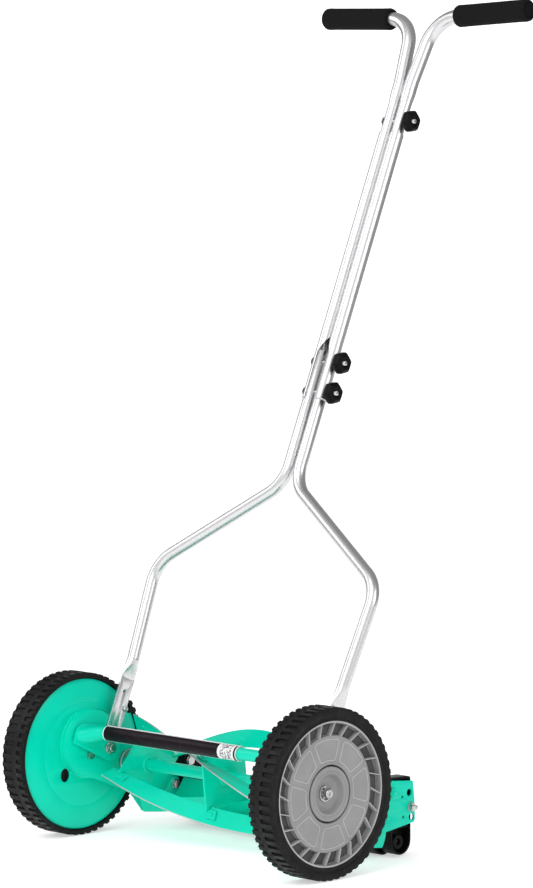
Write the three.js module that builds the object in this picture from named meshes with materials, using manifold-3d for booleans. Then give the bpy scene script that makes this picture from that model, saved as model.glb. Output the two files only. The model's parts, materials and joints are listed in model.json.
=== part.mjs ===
// Push reel mower: two geared wheels drive a four-blade reel against a fixed bedknife, with a
// roller behind and a long bolted tube handle above. Millimetres, +Z up, the mower's front faces
// -Y, X runs along the reel. Every piece is a solid of its own.
import * as THREE from 'three';
import { mergeVertices } from 'three/addons/utils/BufferGeometryUtils.js';
import { ConvexGeometry } from 'three/addons/geometries/ConvexGeometry.js';
import Module from 'manifold-3d';

const wasm = await Module();
wasm.setup();

// ---------- driving dimensions ----------
const GAP = 0.3;                       // air left between pieces that touch

const WHEEL_R = 108;                   // over the tread lugs
const WHEEL_OUT = 250;                 // outer sidewall, from the middle of the mower
const TREAD_W = 38.3;
const LUGS = 58;
const LUG_H = 2.6;
const RIM_R = 92;                      // outside of the wheel's plastic rim
const AXLE = { y: 0, z: WHEEL_R };
const AXLE_R = 6;
const STUD_R = 3.5;                     // the axle's end that is bolted through the side plate

const MODULE = 2.5;                    // gear module
const PINION_TEETH = 11;
const RING_TEETH = 67;
const GEAR_IN = 219;                   // the gears' inner face, from the middle
const GEAR_W = 13;
const GEAR_CENTRES = MODULE * (RING_TEETH - PINION_TEETH) / 2;
const REEL_BEARING = -12.9;            // direction of the reel from the axle, degrees below +Y
const REEL = {
  y: AXLE.y + GEAR_CENTRES * cosd(REEL_BEARING),
  z: AXLE.z + GEAR_CENTRES * sind(REEL_BEARING),
};
const REEL_R = 67.3;                   // to the cutting edges
const BLADES = 4;
const BLADE_HALF = 177;
const BLADE_W = 24;
const BLADE_T = 2;
const BLADE_LEAN = 10;                 // how far the strip leans back from the radius, degrees
const BLADE_TWIST = 0.317;             // degrees of helix for each millimetre along the reel
const BLADE_PHASE = -116;              // where blade 1's edge stands at the middle of the reel
const SPIDER_X = [-158, -12, 158];
const SPIDER_HALF = 38;                // half the side of the square spider plates
const SPIDER_T = 3;
const SPIDER_FIT = 0.7;                // air between a spider and the twisted blades
const SPIDER_LAG = 9;                  // the spider's corners sit this far behind the edges, degrees
const REEL_TUBE_R = 8;
const JOURNAL_R = 6;

const PLATE_IN = 197;                  // side plate's inner face
const PLATE_T = 3;
const BOSS = { y: 5, z: 122, r: 45.5 };
const COVER_R = 99.8;
const COVER_IN = 214.5;                // gear cover's outer edge, from the middle
const COVER_T = 1.5;

const CROSSBAR = { y: 0, z: 141, r: 8 };
const BAND = { from: -162, to: 88, r: 10.2 };
const KNIFE_BEARING = -60;             // where the bedknife's edge stands below the reel, degrees
const ROLLER = { y: 176, z: 20, r: 20, half: 171 };
const ROD_R = 4;
const BRACKET_IN = 175;

const HANDLE_LEAN = 67.35;             // the handle's rise from the ground, degrees
const PIVOT = { y: 28.5, z: 115.9 };
const FOOT = { x: 195.2, t: 3, half: 12, top: 96 };
const LOWER_R = 8.25;
const LOWER_WALL = 1.2;
const ELBOW = { x: 205, t: 257.6 };    // t runs up the handle from its pivot
const PAIR_X = 10.2;                   // the two parallel tubes stand this far from the middle
const NECK_T = 382.6;
const LOWER_TOP = 568;
const MID_R = 9.5;
const MID_BORE = 8.6;
const MID = { from: 500, channel: 573, to: 879.5 };
const UPPER_R = 9.5;
const UPPER_NECK = { from: 848, to: 925, r: 8.2 };
const FORK_T = 945;
const TEE = { x: 20.9, t: 1048.4, r: 46 };
const GRIP = { from: 61.6, to: 185.6, r: 15, rise: 2 };
const KNOB = { r: 15.5, bore: 3.8, length: 18 };
const CLAMP_T = { low: 511, high: 553, top: 898 };

// ---------- finishes ----------
const finish = (color, roughness, metalness) =>
  new THREE.MeshStandardMaterial({ color, roughness, metalness });
const TEAL = finish(0x10c49a, 0.35, 0.1);
const ZINC = finish(0xd9dadb, 0.25, 0.95);
const STEEL = finish(0xb4b6b8, 0.35, 0.9);
const RUBBER = finish(0x151515, 0.85, 0);
const GREY = finish(0x9b9b9b, 0.55, 0);
const BLACK = finish(0x1b1b1c, 0.45, 0);
const FOAM = finish(0x101010, 0.95, 0);

// ---------- small tools ----------
function cosd(a) {
  return Math.cos(THREE.MathUtils.degToRad(a));
}

function sind(a) {
  return Math.sin(THREE.MathUtils.degToRad(a));
}

// A closed geometry as a solid, its faces turned outward if they point in.
function solid(geometry) {
  const bare = geometry.clone();
  bare.deleteAttribute('normal');
  bare.deleteAttribute('uv');
  const merged = mergeVertices(bare, 1e-4);
  const vertProperties = new Float32Array(merged.attributes.position.array);
  const triVerts = new Uint32Array(merged.index.array);
  let body = new wasm.Manifold(new wasm.Mesh({ numProp: 3, vertProperties, triVerts }));
  if (body.volume() < 0) {
    for (let i = 0; i < triVerts.length; i += 3) {
      [triVerts[i], triVerts[i + 1]] = [triVerts[i + 1], triVerts[i]];
    }
    body = new wasm.Manifold(new wasm.Mesh({ numProp: 3, vertProperties, triVerts }));
  }
  return body;
}

function geometryOf(body) {
  const mesh = body.getMesh();
  const geometry = new THREE.BufferGeometry();
  geometry.setAttribute('position', new THREE.Float32BufferAttribute(mesh.vertProperties, 3));
  geometry.setIndex(new THREE.BufferAttribute(mesh.triVerts, 1));
  const faceted = geometry.toNonIndexed();
  faceted.computeVertexNormals();
  return faceted;
}

const join = (...bodies) => bodies.reduce((a, b) => a.add(b));
const cut = (body, ...tools) => tools.reduce((a, b) => a.subtract(b), body);

// Shape axes (a, b) lie along (Y, Z) and the extrusion runs along +X.
const SIDEWAYS = new THREE.Matrix4().makeBasis(
  new THREE.Vector3(0, 1, 0), new THREE.Vector3(0, 0, 1), new THREE.Vector3(1, 0, 0));

function plate(shape, from, thick, curveSegments = 12) {
  const geometry = new THREE.ExtrudeGeometry(shape, { depth: thick, bevelEnabled: false, curveSegments });
  geometry.applyMatrix4(SIDEWAYS);
  geometry.translate(from, 0, 0);
  return solid(geometry);
}

// A profile of (radius, x) points turned about the X axis through (y, z).
const TURNED = new THREE.Matrix4().makeBasis(
  new THREE.Vector3(0, 0, 1), new THREE.Vector3(1, 0, 0), new THREE.Vector3(0, 1, 0));

function turned(profile, { y, z }, sides = 32, phase = 0) {
  const points = profile.map(([r, x]) => new THREE.Vector2(r, x));
  const geometry = new THREE.LatheGeometry(points, sides, phase);
  geometry.applyMatrix4(TURNED);
  geometry.translate(0, y, z);
  return solid(geometry);
}

const bar = (r, from, to, at, sides = 12) =>
  turned([[0, from], [r, from], [r, to], [0, to]], at, sides);

const ring = (inner, outer, from, to, at, sides = 18) =>
  turned([[inner, from], [outer, from], [outer, to], [inner, to], [inner, from]], at, sides);

const hexagon = (r, from, to, at) => bar(r, from, to, at, 6);

function block(x0, x1, y0, y1, z0, z1) {
  const geometry = new THREE.BoxGeometry(x1 - x0, y1 - y0, z1 - z0);
  geometry.translate((x0 + x1) / 2, (y0 + y1) / 2, (z0 + z1) / 2);
  return solid(geometry);
}

const mirrored = (body) => body.mirror([1, 0, 0]);

function outline(points) {
  return new THREE.Shape(points.map(([a, b]) => new THREE.Vector2(a, b)));
}

const polar = (r, angle) => [r * cosd(angle), r * sind(angle)];

// ---------- the assembly ----------
const mower = new THREE.Group();

function addTo(group, name, body, material) {
  const mesh = new THREE.Mesh(geometryOf(body), material);
  mesh.name = name;
  group.add(mesh);
  return mesh;
}

const add = (name, body, material) => addTo(mower, name, body, material);

// The right side is +X; the left piece is its mirror image.
function addPair(name, body, material, group = mower) {
  addTo(group, `${name}_right`, body, material);
  addTo(group, `${name}_left`, mirrored(body), material);
}

// ---------- gears ----------
// A toothed outline: each tooth is a trapezoid that is `atRoot` and `atTip` millimetres wide.
function toothed(teeth, root, tip, atRoot, atTip, phase) {
  const points = [];
  for (let i = 0; i < teeth; i++) {
    const middle = phase + i * 360 / teeth;
    const half = (width, r) => THREE.MathUtils.radToDeg(width / r / 2);
    points.push(polar(root, middle - half(atRoot, root)));
    points.push(polar(tip, middle - half(atTip, tip)));
    points.push(polar(tip, middle + half(atTip, tip)));
    points.push(polar(root, middle + half(atRoot, root)));
  }
  return points;
}

const RING_PITCH = MODULE * RING_TEETH / 2;
const PINION_PITCH = MODULE * PINION_TEETH / 2;
const ringGear = toothed(RING_TEETH, RING_PITCH + 3.1, RING_PITCH - 1.7, 5, 2, REEL_BEARING);
const pinionGear = toothed(PINION_TEETH, PINION_PITCH - 2.6, PINION_PITCH + 1.8, 5.2, 1.8,
  REEL_BEARING + 180 / PINION_TEETH);

// ---------- wheels ----------
const WHEEL_SIDES = 36;
const RIBS = 24;
const POCKET = { inner: 73, outer: 88, floor: 240.5, slant: -5.5 };
const WHEEL_BACK = GEAR_IN + GEAR_W;

function pocketCut(i) {
  const step = 360 / RIBS;
  const wall = 1.1;
  const from = i * step + wall;
  const to = (i + 1) * step - wall;
  const corners = [
    polar(POCKET.inner, from), polar(POCKET.outer, from + POCKET.slant),
    polar(POCKET.outer, to + POCKET.slant), polar(POCKET.inner, to),
  ];
  const shape = outline(corners.map(([a, b]) => [a + AXLE.y, b + AXLE.z]));
  return plate(shape, POCKET.floor, 20);
}

function wheel() {
  const disc = turned([
    [AXLE_R + GAP, GEAR_IN], [14, GEAR_IN], [14, WHEEL_BACK], [RIM_R, WHEEL_BACK],
    [RIM_R, 249.2], [POCKET.outer + 1, 249.2], [POCKET.inner - 1, 246.5], [37, 245.5],
    [35.5, 243], [34, 247], [26, 247], [24.5, 237.5], [AXLE_R + GAP, 237.5],
    [AXLE_R + GAP, GEAR_IN],
  ], AXLE, WHEEL_SIDES);
  const toothRing = outline(polarRing(RIM_R, WHEEL_SIDES));
  toothRing.holes.push(new THREE.Path(ringGear.map(([a, b]) => new THREE.Vector2(a, b))));
  const gear = plate(toothRing, GEAR_IN, GEAR_W + 1).translate(0, AXLE.y, AXLE.z);
  const pockets = [];
  for (let i = 0; i < RIBS; i++) {
    pockets.push(pocketCut(i));
  }
  return cut(join(disc, gear), ...pockets);
}

function polarRing(r, sides) {
  return Array.from({ length: sides }, (_, i) => polar(r, i * 360 / sides));
}

// The lug at the bottom stands square on the ground: its flat top is at z = 0.
function tyre() {
  const step = 360 / LUGS;
  const lugHalf = step * 0.31;
  const tip = WHEEL_R / cosd(lugHalf);
  const root = WHEEL_R - LUG_H;
  const points = [];
  for (let i = 0; i < LUGS; i++) {
    const middle = -90 + i * step;
    points.push(polar(root, middle - step * 0.38));
    points.push(polar(tip, middle - lugHalf));
    points.push(polar(tip, middle + lugHalf));
    points.push(polar(root, middle + step * 0.38));
  }
  const inside = WHEEL_OUT - TREAD_W;
  const tread = plate(outline(points), inside, TREAD_W).translate(0, AXLE.y, AXLE.z);
  const bore = turned([
    [0, inside - 1], [COVER_R + 1, inside - 1], [COVER_R + 1, COVER_IN + COVER_T + 1],
    [RIM_R + GAP, COVER_IN + COVER_T + 1], [RIM_R + GAP, WHEEL_OUT + 1], [0, WHEEL_OUT + 1],
  ], AXLE, WHEEL_SIDES);
  return cut(tread, bore);
}

addPair('wheel', wheel(), GREY);
addPair('tyre', tyre(), RUBBER);

// ---------- axle bolts and their clips ----------
// The axle's shoulder stands on the side plate and a nut holds it from inside.
addPair('axle_bolt', join(
  hexagon(6, PLATE_IN - 3.3, PLATE_IN - GAP, AXLE),
  bar(STUD_R, PLATE_IN - 3.3, PLATE_IN + PLATE_T + 2, AXLE),
  bar(AXLE_R, PLATE_IN + PLATE_T + GAP, 246.5, AXLE, 20)), STEEL);
addPair('axle_clip', ring(AXLE_R + GAP, 10.5, 237.5 + GAP, 240.5, AXLE), ZINC);

// ---------- gear covers ----------
function gearCover() {
  const back = COVER_IN + COVER_T;
  const disc = turned([
    [0, 210], [78, 210], [COVER_R, COVER_IN], [COVER_R, back], [77, 211.8], [0, 211.8],
  ], AXLE, WHEEL_SIDES);
  const boss = bar(BOSS.r, PLATE_IN + PLATE_T + GAP, 211, BOSS, 30);
  const hollow = bar(BOSS.r - 1.8, PLATE_IN + PLATE_T + GAP + 1.8, 220, BOSS, 30);
  const shaftHole = bar(JOURNAL_R + 3, 190, 230, REEL);
  const access = new THREE.Shape();
  access.absellipse(-33, 83, 7.6, 9.2, 0, 2 * Math.PI);
  return cut(join(disc, boss), hollow, shaftHole, pivotHole(), bar(AXLE_R + GAP, 190, 230, AXLE, 20),
    plate(access, 190, 40, 4));
}

function pivotHole() {
  return bar(5 + GAP, 150, 230, PIVOT);
}

addPair('gear_cover', gearCover(), TEAL);

// ---------- side plates ----------
const HEIGHT_BOLT = { y: 196, z: 63.5 };
const HEIGHT_HOLES = [{ y: 193, z: 82.5 }, { y: 197, z: 50.5 }];
const BRACKET_BOLT = { y: 160, z: 86 };
const CUTTER_BOLT = { y: 151, z: 53 };
const BEARING_R = 13.5;

function sidePlateOutline() {
  const s = new THREE.Shape();
  const from = THREE.MathUtils.degToRad(27.7);
  const to = THREE.MathUtils.degToRad(235);
  s.moveTo(BOSS.y + BOSS.r * Math.cos(from), BOSS.z + BOSS.r * Math.sin(from));
  s.absarc(BOSS.y, BOSS.z, BOSS.r, from, to, false);
  s.lineTo(24, 70);
  s.lineTo(72, 49);
  s.lineTo(94, 22.5);
  s.lineTo(143, 17);
  s.quadraticCurveTo(149, 26, 150, 36);
  s.lineTo(200, 43);
  s.quadraticCurveTo(204, 44, 204, 48);
  s.lineTo(203, 73);
  s.lineTo(200, 97);
  s.lineTo(160, 101);
  s.lineTo(120, 115);
  s.lineTo(80, 128);
  s.closePath();
  return s;
}

function sidePlate() {
  const sheet = plate(sidePlateOutline(), PLATE_IN, PLATE_T, 9);
  const holes = [
    bar(STUD_R + GAP, 150, 230, AXLE), pivotHole(), bar(BEARING_R + GAP, 150, 230, REEL, 16),
    bar(3 + GAP, 150, 230, HEIGHT_BOLT, 8),
    bar(2.6, 150, 230, { y: 126, z: 97 }, 10),
    bar(1.8, 150, 230, { y: 180, z: 78 }, 8),
    bar(1.8, 150, 230, { y: 182, z: 52 }, 8),
  ];
  for (const at of HEIGHT_HOLES) {
    holes.push(bar(4.6, 150, 230, at, 10));
  }
  for (const at of [BRACKET_BOLT, CUTTER_BOLT]) {
    holes.push(bar(3 + GAP, 150, 230, at, 8));
  }
  return cut(sheet, ...holes);
}

addPair('side_plate', sidePlate(), TEAL);

// ---------- crossbar ----------
// A tube whose ends are pressed into flat gussets. The handle's foot turns between each gusset
// and its side plate, on the bolt that holds all three.
const GUSSET_OUT = FOOT.x - FOOT.t / 2 - GAP;
const GUSSET_IN = GUSSET_OUT - 3;

function flare(sign) {
  const tubeEnd = [];
  const flatEnd = [];
  for (let i = 0; i < 16; i++) {
    const a = i * 360 / 16;
    tubeEnd.push(new THREE.Vector3(sign * 166, CROSSBAR.y + CROSSBAR.r * cosd(a),
      CROSSBAR.z + CROSSBAR.r * sind(a)));
    flatEnd.push(new THREE.Vector3(sign * (GUSSET_IN + 0.5), -8 + 23 * cosd(a), 137 + 12 * sind(a)));
  }
  return solid(new ConvexGeometry([...tubeEnd, ...flatEnd]));
}

function gusset() {
  const s = new THREE.Shape();
  s.moveTo(-34, 128);
  s.lineTo(-31, 140);
  s.quadraticCurveTo(-27, 153, -12, 152);
  s.lineTo(20, 146);
  s.quadraticCurveTo(42, 138, 47, 118);
  s.quadraticCurveTo(49, 107, 40, 101);
  s.quadraticCurveTo(33, 96, 25, 99);
  s.closePath();
  return cut(plate(s, GUSSET_IN, GUSSET_OUT - GUSSET_IN, 6), pivotHole());
}

function crossbar() {
  const tube = bar(CROSSBAR.r, -167, 167, CROSSBAR, 16);
  return join(tube, flare(1), flare(-1), gusset(), mirrored(gusset()));
}

add('crossbar', crossbar(), TEAL);
add('crossbar_band', ring(CROSSBAR.r + GAP, BAND.r, BAND.from, BAND.to, CROSSBAR, 24), BLACK);

// ---------- cutter bar and bedknife ----------
const EDGE = {
  y: REEL.y + (REEL_R + 0.6) * cosd(KNIFE_BEARING),
  z: REEL.z + (REEL_R + 0.6) * sind(KNIFE_BEARING),
};
const KNIFE_T = 2;
const KNIFE_DEPTH = 24;
const RIVETS = 5;
const APRON_HALF = 176;

// A folded steel bar: a shelf under the bedknife, an apron that rises behind the reel and a tab
// at each end that is bolted to the side plate.
function cutterBar() {
  const top = EDGE.z - KNIFE_T - GAP;
  const half = PLATE_IN - GAP;
  const shelf = outline([
    [EDGE.y + 4, top - 3], [EDGE.y + 26, top - 3], [EDGE.y + 26, top], [EDGE.y + 4, top],
  ]);
  const apron = outline([
    [EDGE.y + 24.5, top - 3], [EDGE.y + 26, top - 3], [152, 63], [149.5, 64.5], [EDGE.y + 24.5, top - 0.5],
  ]);
  const tab = outline([
    [105, 24], [140, 21], [158, 44], [158, 59], [155, 62], [146, 62], [130, 44], [105, 34],
  ]);
  const tabs = cut(plate(tab, half - 3, 3), bar(3 + GAP, 150, 230, CUTTER_BOLT, 8));
  return join(plate(shelf, -half, 2 * half), plate(apron, -APRON_HALF, 2 * APRON_HALF), tabs, mirrored(tabs));
}

function bedknife() {
  const half = BLADE_HALF + 8;
  let knife = plate(outline([
    [EDGE.y, EDGE.z], [EDGE.y + 0.8, EDGE.z - KNIFE_T], [EDGE.y + KNIFE_DEPTH, EDGE.z - KNIFE_T],
    [EDGE.y + KNIFE_DEPTH, EDGE.z],
  ]), -half, 2 * half);
  for (let i = 0; i < RIVETS; i++) {
    const head = new THREE.CylinderGeometry(2.4, 3.6, 2.2, 10);
    head.rotateX(Math.PI / 2);
    head.translate(half * (2 * i / (RIVETS - 1) - 1) * 0.9, EDGE.y + 16, EDGE.z + 0.6);
    knife = join(knife, solid(head));
  }
  return knife;
}

add('cutter_bar', cutterBar(), TEAL);
add('bedknife', bedknife(), STEEL);
addPair('cutter_bolt', join(
  hexagon(6.2, PLATE_IN - 7.6, PLATE_IN - 3 - 2 * GAP, CUTTER_BOLT),
  bar(3, PLATE_IN - 5, PLATE_IN + PLATE_T + 2, CUTTER_BOLT, 8)), ZINC);

// ---------- roller brackets, roller and bolts ----------
function bracket() {
  const s = new THREE.Shape();
  s.moveTo(163, 104);
  s.lineTo(195, 103);
  s.quadraticCurveTo(199, 103, 199, 99);
  s.lineTo(199.5, 21);
  s.absarc(181, 21, 18.5, 0, -Math.PI, true);
  s.lineTo(160, 60);
  s.lineTo(151, 78);
  s.lineTo(151, 94);
  s.lineTo(163, 98);
  s.closePath();
  return cut(plate(s, BRACKET_IN, PLATE_IN - GAP - BRACKET_IN, 8),
    bar(ROD_R + GAP, 150, 230, ROLLER, 12),
    bar(3 + GAP, 150, 230, HEIGHT_BOLT, 8),
    bar(3 + GAP, 150, 230, BRACKET_BOLT, 8));
}

// A bolt put through from the inside, its head on the bracket and its nut on the side plate.
function throughBolt(at, end) {
  const outside = PLATE_IN + PLATE_T + GAP;
  return join(
    hexagon(6.2, BRACKET_IN - 3.8, BRACKET_IN - GAP, at),
    bar(3, BRACKET_IN - 1, end, at, 8),
    hexagon(6.2, outside, outside + 4.5, at));
}

addPair('roller_bracket', bracket(), BLACK);
addPair('height_bolt', throughBolt(HEIGHT_BOLT, 210), ZINC);
addPair('bracket_bolt', throughBolt(BRACKET_BOLT, 206.5), ZINC);
add('roller_rod', bar(ROD_R, -192, 192, ROLLER, 12), STEEL);

// Its lowest facet lies flat on the ground.
function roller() {
  const sides = 24;
  const r = ROLLER.r / Math.cos(Math.PI / sides);
  const body = turned([
    [ROD_R + GAP, -ROLLER.half], [14, -ROLLER.half], [16, 3 - ROLLER.half], [r - 1, -ROLLER.half],
    [r, 1.5 - ROLLER.half], [r, ROLLER.half - 1.5], [r - 1, ROLLER.half], [16, ROLLER.half - 3],
    [14, ROLLER.half], [ROD_R + GAP, ROLLER.half], [ROD_R + GAP, -ROLLER.half],
  ], { y: 0, z: 0 }, sides, Math.PI / sides);
  return body.translate(0, ROLLER.y, ROLLER.z);
}

add('roller', roller(), BLACK);

// ---------- reel ----------
// A strip that follows the reel's helix. `out` and `width` run along the strip's own slope from
// its outer edge, `behind` is its distance behind the blade's middle plane.
function helixStrip(x, length, out, width, behind, thick, pieces, index) {
  const geometry = new THREE.BoxGeometry(length, width, thick, pieces, 1, 1);
  geometry.translate(x, -out - width / 2, -behind);
  const p = geometry.attributes.position;
  for (let i = 0; i < p.count; i++) {
    const radial = REEL_R + p.getY(i) * cosd(BLADE_LEAN) - p.getZ(i) * sind(BLADE_LEAN);
    const around = p.getY(i) * sind(BLADE_LEAN) + p.getZ(i) * cosd(BLADE_LEAN);
    const angle = BLADE_PHASE + index * 360 / BLADES + BLADE_TWIST * p.getX(i);
    p.setY(i, radial * cosd(angle) - around * sind(angle));
    p.setZ(i, radial * sind(angle) + around * cosd(angle));
  }
  return solid(geometry).translate(0, REEL.y, REEL.z);
}

// A square plate whose corners are notched round the blades, with a tab folded along each blade.
function spider(x) {
  const turn = BLADE_PHASE - SPIDER_LAG + BLADE_TWIST * x;
  const corners = [0, 1, 2, 3].map((i) => polar(SPIDER_HALF * Math.SQRT2, turn + 90 * i));
  let body = plate(outline(corners), x - SPIDER_T / 2, SPIDER_T).translate(0, REEL.y, REEL.z);
  body = cut(body, bar(REEL_TUBE_R + GAP, x - 5, x + 5, REEL, 20));
  const inward = x > 0 ? -1 : 1;
  const tabX = x + inward * 6;
  for (let i = 0; i < BLADES; i++) {
    const slot = helixStrip(x, 10, -5, BLADE_W + 5 + SPIDER_FIT, 0, BLADE_T + 2 * SPIDER_FIT, 2, i);
    const tab = helixStrip(tabX, 13, 8, 12, BLADE_T / 2 + SPIDER_FIT + 1, 2, 3, i);
    body = join(cut(body, slot), tab);
  }
  return body;
}

function reelShaft() {
  const end = WHEEL_BACK - 0.6;
  const shaft = join(bar(REEL_TUBE_R, -176, 176, REEL, 20), bar(JOURNAL_R, -end, end, REEL, 20));
  const slot = block(GEAR_IN + 1, GEAR_IN + 11.5, REEL.y - 20, REEL.y + 20, REEL.z - 1.8, REEL.z + 1.8);
  return cut(shaft, slot, mirrored(slot));
}

// The pinion is free on the shaft; pockets in its bore catch the sliding pawl one way round.
function pinion() {
  const from = GEAR_IN + 0.5;
  const gear = plate(outline(pinionGear), from, GEAR_W - 1.1).translate(0, REEL.y, REEL.z);
  const pockets = plate(outline(toothed(5, 5.5, 8.9, 4.6, 4.2, 0)), from - 1, GEAR_W + 1);
  return cut(gear, bar(JOURNAL_R + GAP, 200, 240, REEL, 20), pockets.translate(0, REEL.y, REEL.z));
}

const pawl = () =>
  block(GEAR_IN + 1.4, GEAR_IN + 11.1, REEL.y - 5.2, REEL.y + 8.3, REEL.z - 1.5, REEL.z + 1.5);

const bearing = () => turned([
  [JOURNAL_R + GAP, PLATE_IN - 3 - GAP], [17, PLATE_IN - 3 - GAP], [17, PLATE_IN - GAP],
  [BEARING_R, PLATE_IN - GAP], [BEARING_R, 206], [JOURNAL_R + GAP, 206],
  [JOURNAL_R + GAP, PLATE_IN - 3 - GAP],
], REEL, 16);

add('reel_shaft', reelShaft(), TEAL);
SPIDER_X.forEach((x, i) => add(`spider_${['left', 'middle', 'right'][i]}`, spider(x), TEAL));
for (let i = 0; i < BLADES; i++) {
  add(`blade_${i + 1}`, helixStrip(0, 2 * BLADE_HALF, 0, BLADE_W, 0, BLADE_T, 28, i), TEAL);
}
addPair('reel_bearing', bearing(), STEEL);
addPair('pinion', pinion(), STEEL);
addPair('pawl', pawl(), STEEL);

// ---------- handle ----------
// Its own frame starts at the pivot: X stays across, Y runs up the handle, Z is its front.
const handle = new THREE.Group();
handle.position.set(0, PIVOT.y, PIVOT.z);
handle.rotation.x = THREE.MathUtils.degToRad(HANDLE_LEAN);
mower.add(handle);

// A path that an extrusion samples at its own stations only, so straight runs cost nothing.
class StationPath extends THREE.Curve {
  constructor(stations) {
    super();
    this.stations = stations.map(([x, t]) => new THREE.Vector3(x, t, 0));
  }

  getPointAt(u) {
    return this.stations[Math.round(u * (this.stations.length - 1))].clone();
  }

  getPoint(u) {
    return this.getPointAt(u);
  }

  getTangentAt(u) {
    const i = Math.round(u * (this.stations.length - 1));
    const before = this.stations[Math.max(i - 1, 0)];
    const here = this.stations[i];
    const after = this.stations[Math.min(i + 1, this.stations.length - 1)];
    const arriving = here.clone().sub(before).normalize();
    const leaving = after.clone().sub(here).normalize();
    return arriving.add(leaving).normalize();
  }
}

// Stations along a route of straight runs whose corners are rounded to the given radii.
function rounded(route, radii, pieces = 4) {
  const stations = [route[0]];
  for (let i = 1; i < route.length - 1; i++) {
    const corner = new THREE.Vector2(...route[i]);
    const back = new THREE.Vector2(...route[i - 1]).sub(corner).normalize();
    const on = new THREE.Vector2(...route[i + 1]).sub(corner).normalize();
    const halfAngle = Math.acos(back.dot(on)) / 2;
    const r = radii[i - 1];
    const centre = back.clone().add(on).normalize().multiplyScalar(r / Math.sin(halfAngle)).add(corner);
    const start = back.clone().multiplyScalar(r / Math.tan(halfAngle)).add(corner).sub(centre);
    const end = on.clone().multiplyScalar(r / Math.tan(halfAngle)).add(corner).sub(centre);
    const sweep = Math.atan2(start.cross(end), start.dot(end));
    for (let k = 0; k <= pieces; k++) {
      const at = start.clone().rotateAround(new THREE.Vector2(), sweep * k / pieces).add(centre);
      stations.push([at.x, at.y]);
    }
  }
  stations.push(route[route.length - 1]);
  return stations;
}

function sweep(stations, r, sides = 10) {
  const section = outline(polarRing(r, sides));
  const extrudePath = new StationPath(stations);
  return solid(new THREE.ExtrudeGeometry(section, { steps: stations.length - 1, extrudePath }));
}

// A profile of (radius, t) points turned about a line that runs up the handle at x.
function upright(profile, x, sides = 12) {
  const geometry = new THREE.LatheGeometry(profile.map(([r, t]) => new THREE.Vector2(r, t)), sides);
  geometry.translate(x, 0, 0);
  return solid(geometry);
}

const clampHole = (t) => bar(3 + GAP, -30, 30, { y: t, z: 0 }, 8);

function lowerTube() {
  const route = [[FOOT.x, 118], [ELBOW.x, ELBOW.t], [PAIR_X, NECK_T], [PAIR_X, LOWER_TOP]];
  const bore = [[FOOT.x, 121], ...route.slice(1, 3), [PAIR_X, LOWER_TOP + 1]];
  const tube = sweep(rounded(route, [48, 48]), LOWER_R);
  const hollow = sweep(rounded(bore, [48, 48]), LOWER_R - LOWER_WALL);
  const foot = new THREE.Shape();
  foot.moveTo(0, -FOOT.half);
  foot.lineTo(FOOT.top, -FOOT.half);
  foot.lineTo(FOOT.top, FOOT.half);
  foot.lineTo(0, FOOT.half);
  foot.absarc(0, 0, FOOT.half, Math.PI / 2, Math.PI * 1.5, false);
  const flat = plate(foot, FOOT.x - FOOT.t / 2, FOOT.t, 8);
  const ends = [];
  for (const [a, b] of polarRing(LOWER_R, 10)) {
    ends.push(new THREE.Vector3(FOOT.x + a, 120, b));
  }
  for (const x of [FOOT.x - FOOT.t / 2, FOOT.x + FOOT.t / 2]) {
    ends.push(new THREE.Vector3(x, FOOT.top - 2, -FOOT.half), new THREE.Vector3(x, FOOT.top - 2, FOOT.half));
  }
  const pressed = solid(new ConvexGeometry(ends));
  const holes = [
    bar(5 + GAP, 150, 230, { y: 0, z: 0 }), bar(2 + GAP, 150, 230, BUMPER, 10),
    bar(2.5, 150, 230, { y: 78, z: 0 }, 10), clampHole(CLAMP_T.low), clampHole(CLAMP_T.high),
  ];
  return cut(join(cut(tube, hollow), flat, pressed), ...holes);
}

// Below `channel` the tube is opened towards the middle, so that it cups the lower tube.
function midTube() {
  const tube = upright([
    [MID_BORE, MID.from], [MID_R, MID.from], [MID_R, MID.to], [MID_BORE, MID.to],
    [MID_BORE, MID.from],
  ], PAIR_X, 16);
  const scoop = new THREE.ExtrudeGeometry(outline([
    [PAIR_X + 0.5, MID.from - 1], [PAIR_X + 0.5, MID.channel - 8], [0, MID.channel + 16],
    [-1, MID.channel + 16], [-1, MID.from - 1],
  ]), { depth: 30, bevelEnabled: false });
  scoop.translate(0, 0, -15);
  return cut(tube, solid(scoop), clampHole(CLAMP_T.low), clampHole(CLAMP_T.high));
}

const gripLine = (x) => TEE.t + (x - TEE.x) * Math.tan(THREE.MathUtils.degToRad(GRIP.rise));

function upperTube() {
  const end = GRIP.to - 2.5;
  const route = [
    [PAIR_X, UPPER_NECK.to + 14], [PAIR_X, FORK_T + 8], [TEE.x, TEE.t], [end, gripLine(end)],
  ];
  const bore = [...route.slice(0, 3), [end + 1, gripLine(end + 1)]];
  bore[0] = [PAIR_X, UPPER_NECK.from - 1];
  const tube = sweep(rounded(route, [120, TEE.r], 5), UPPER_R);
  const neck = upright([
    [0, UPPER_NECK.from], [UPPER_NECK.r, UPPER_NECK.from], [UPPER_NECK.r, UPPER_NECK.to - 5],
    [UPPER_R, UPPER_NECK.to + 14.5], [0, UPPER_NECK.to + 14.5],
  ], PAIR_X, 10);
  const hollow = sweep(rounded(bore, [120, TEE.r], 5), UPPER_NECK.r - 1);
  return cut(join(tube, neck), hollow, clampHole(CLAMP_T.top));
}

// A foam sleeve with a closed, rounded outer end, along +Y from where it starts.
function grip() {
  const length = GRIP.to - GRIP.from;
  return upright([
    [UPPER_R + 0.5, 0], [GRIP.r - 2, 0], [GRIP.r, 2], [GRIP.r, length - 3], [GRIP.r - 3, length],
    [0, length], [0, length - 2], [UPPER_R + 0.5, length - 2], [UPPER_R + 0.5, 0],
  ], 0, 24);
}

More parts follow.
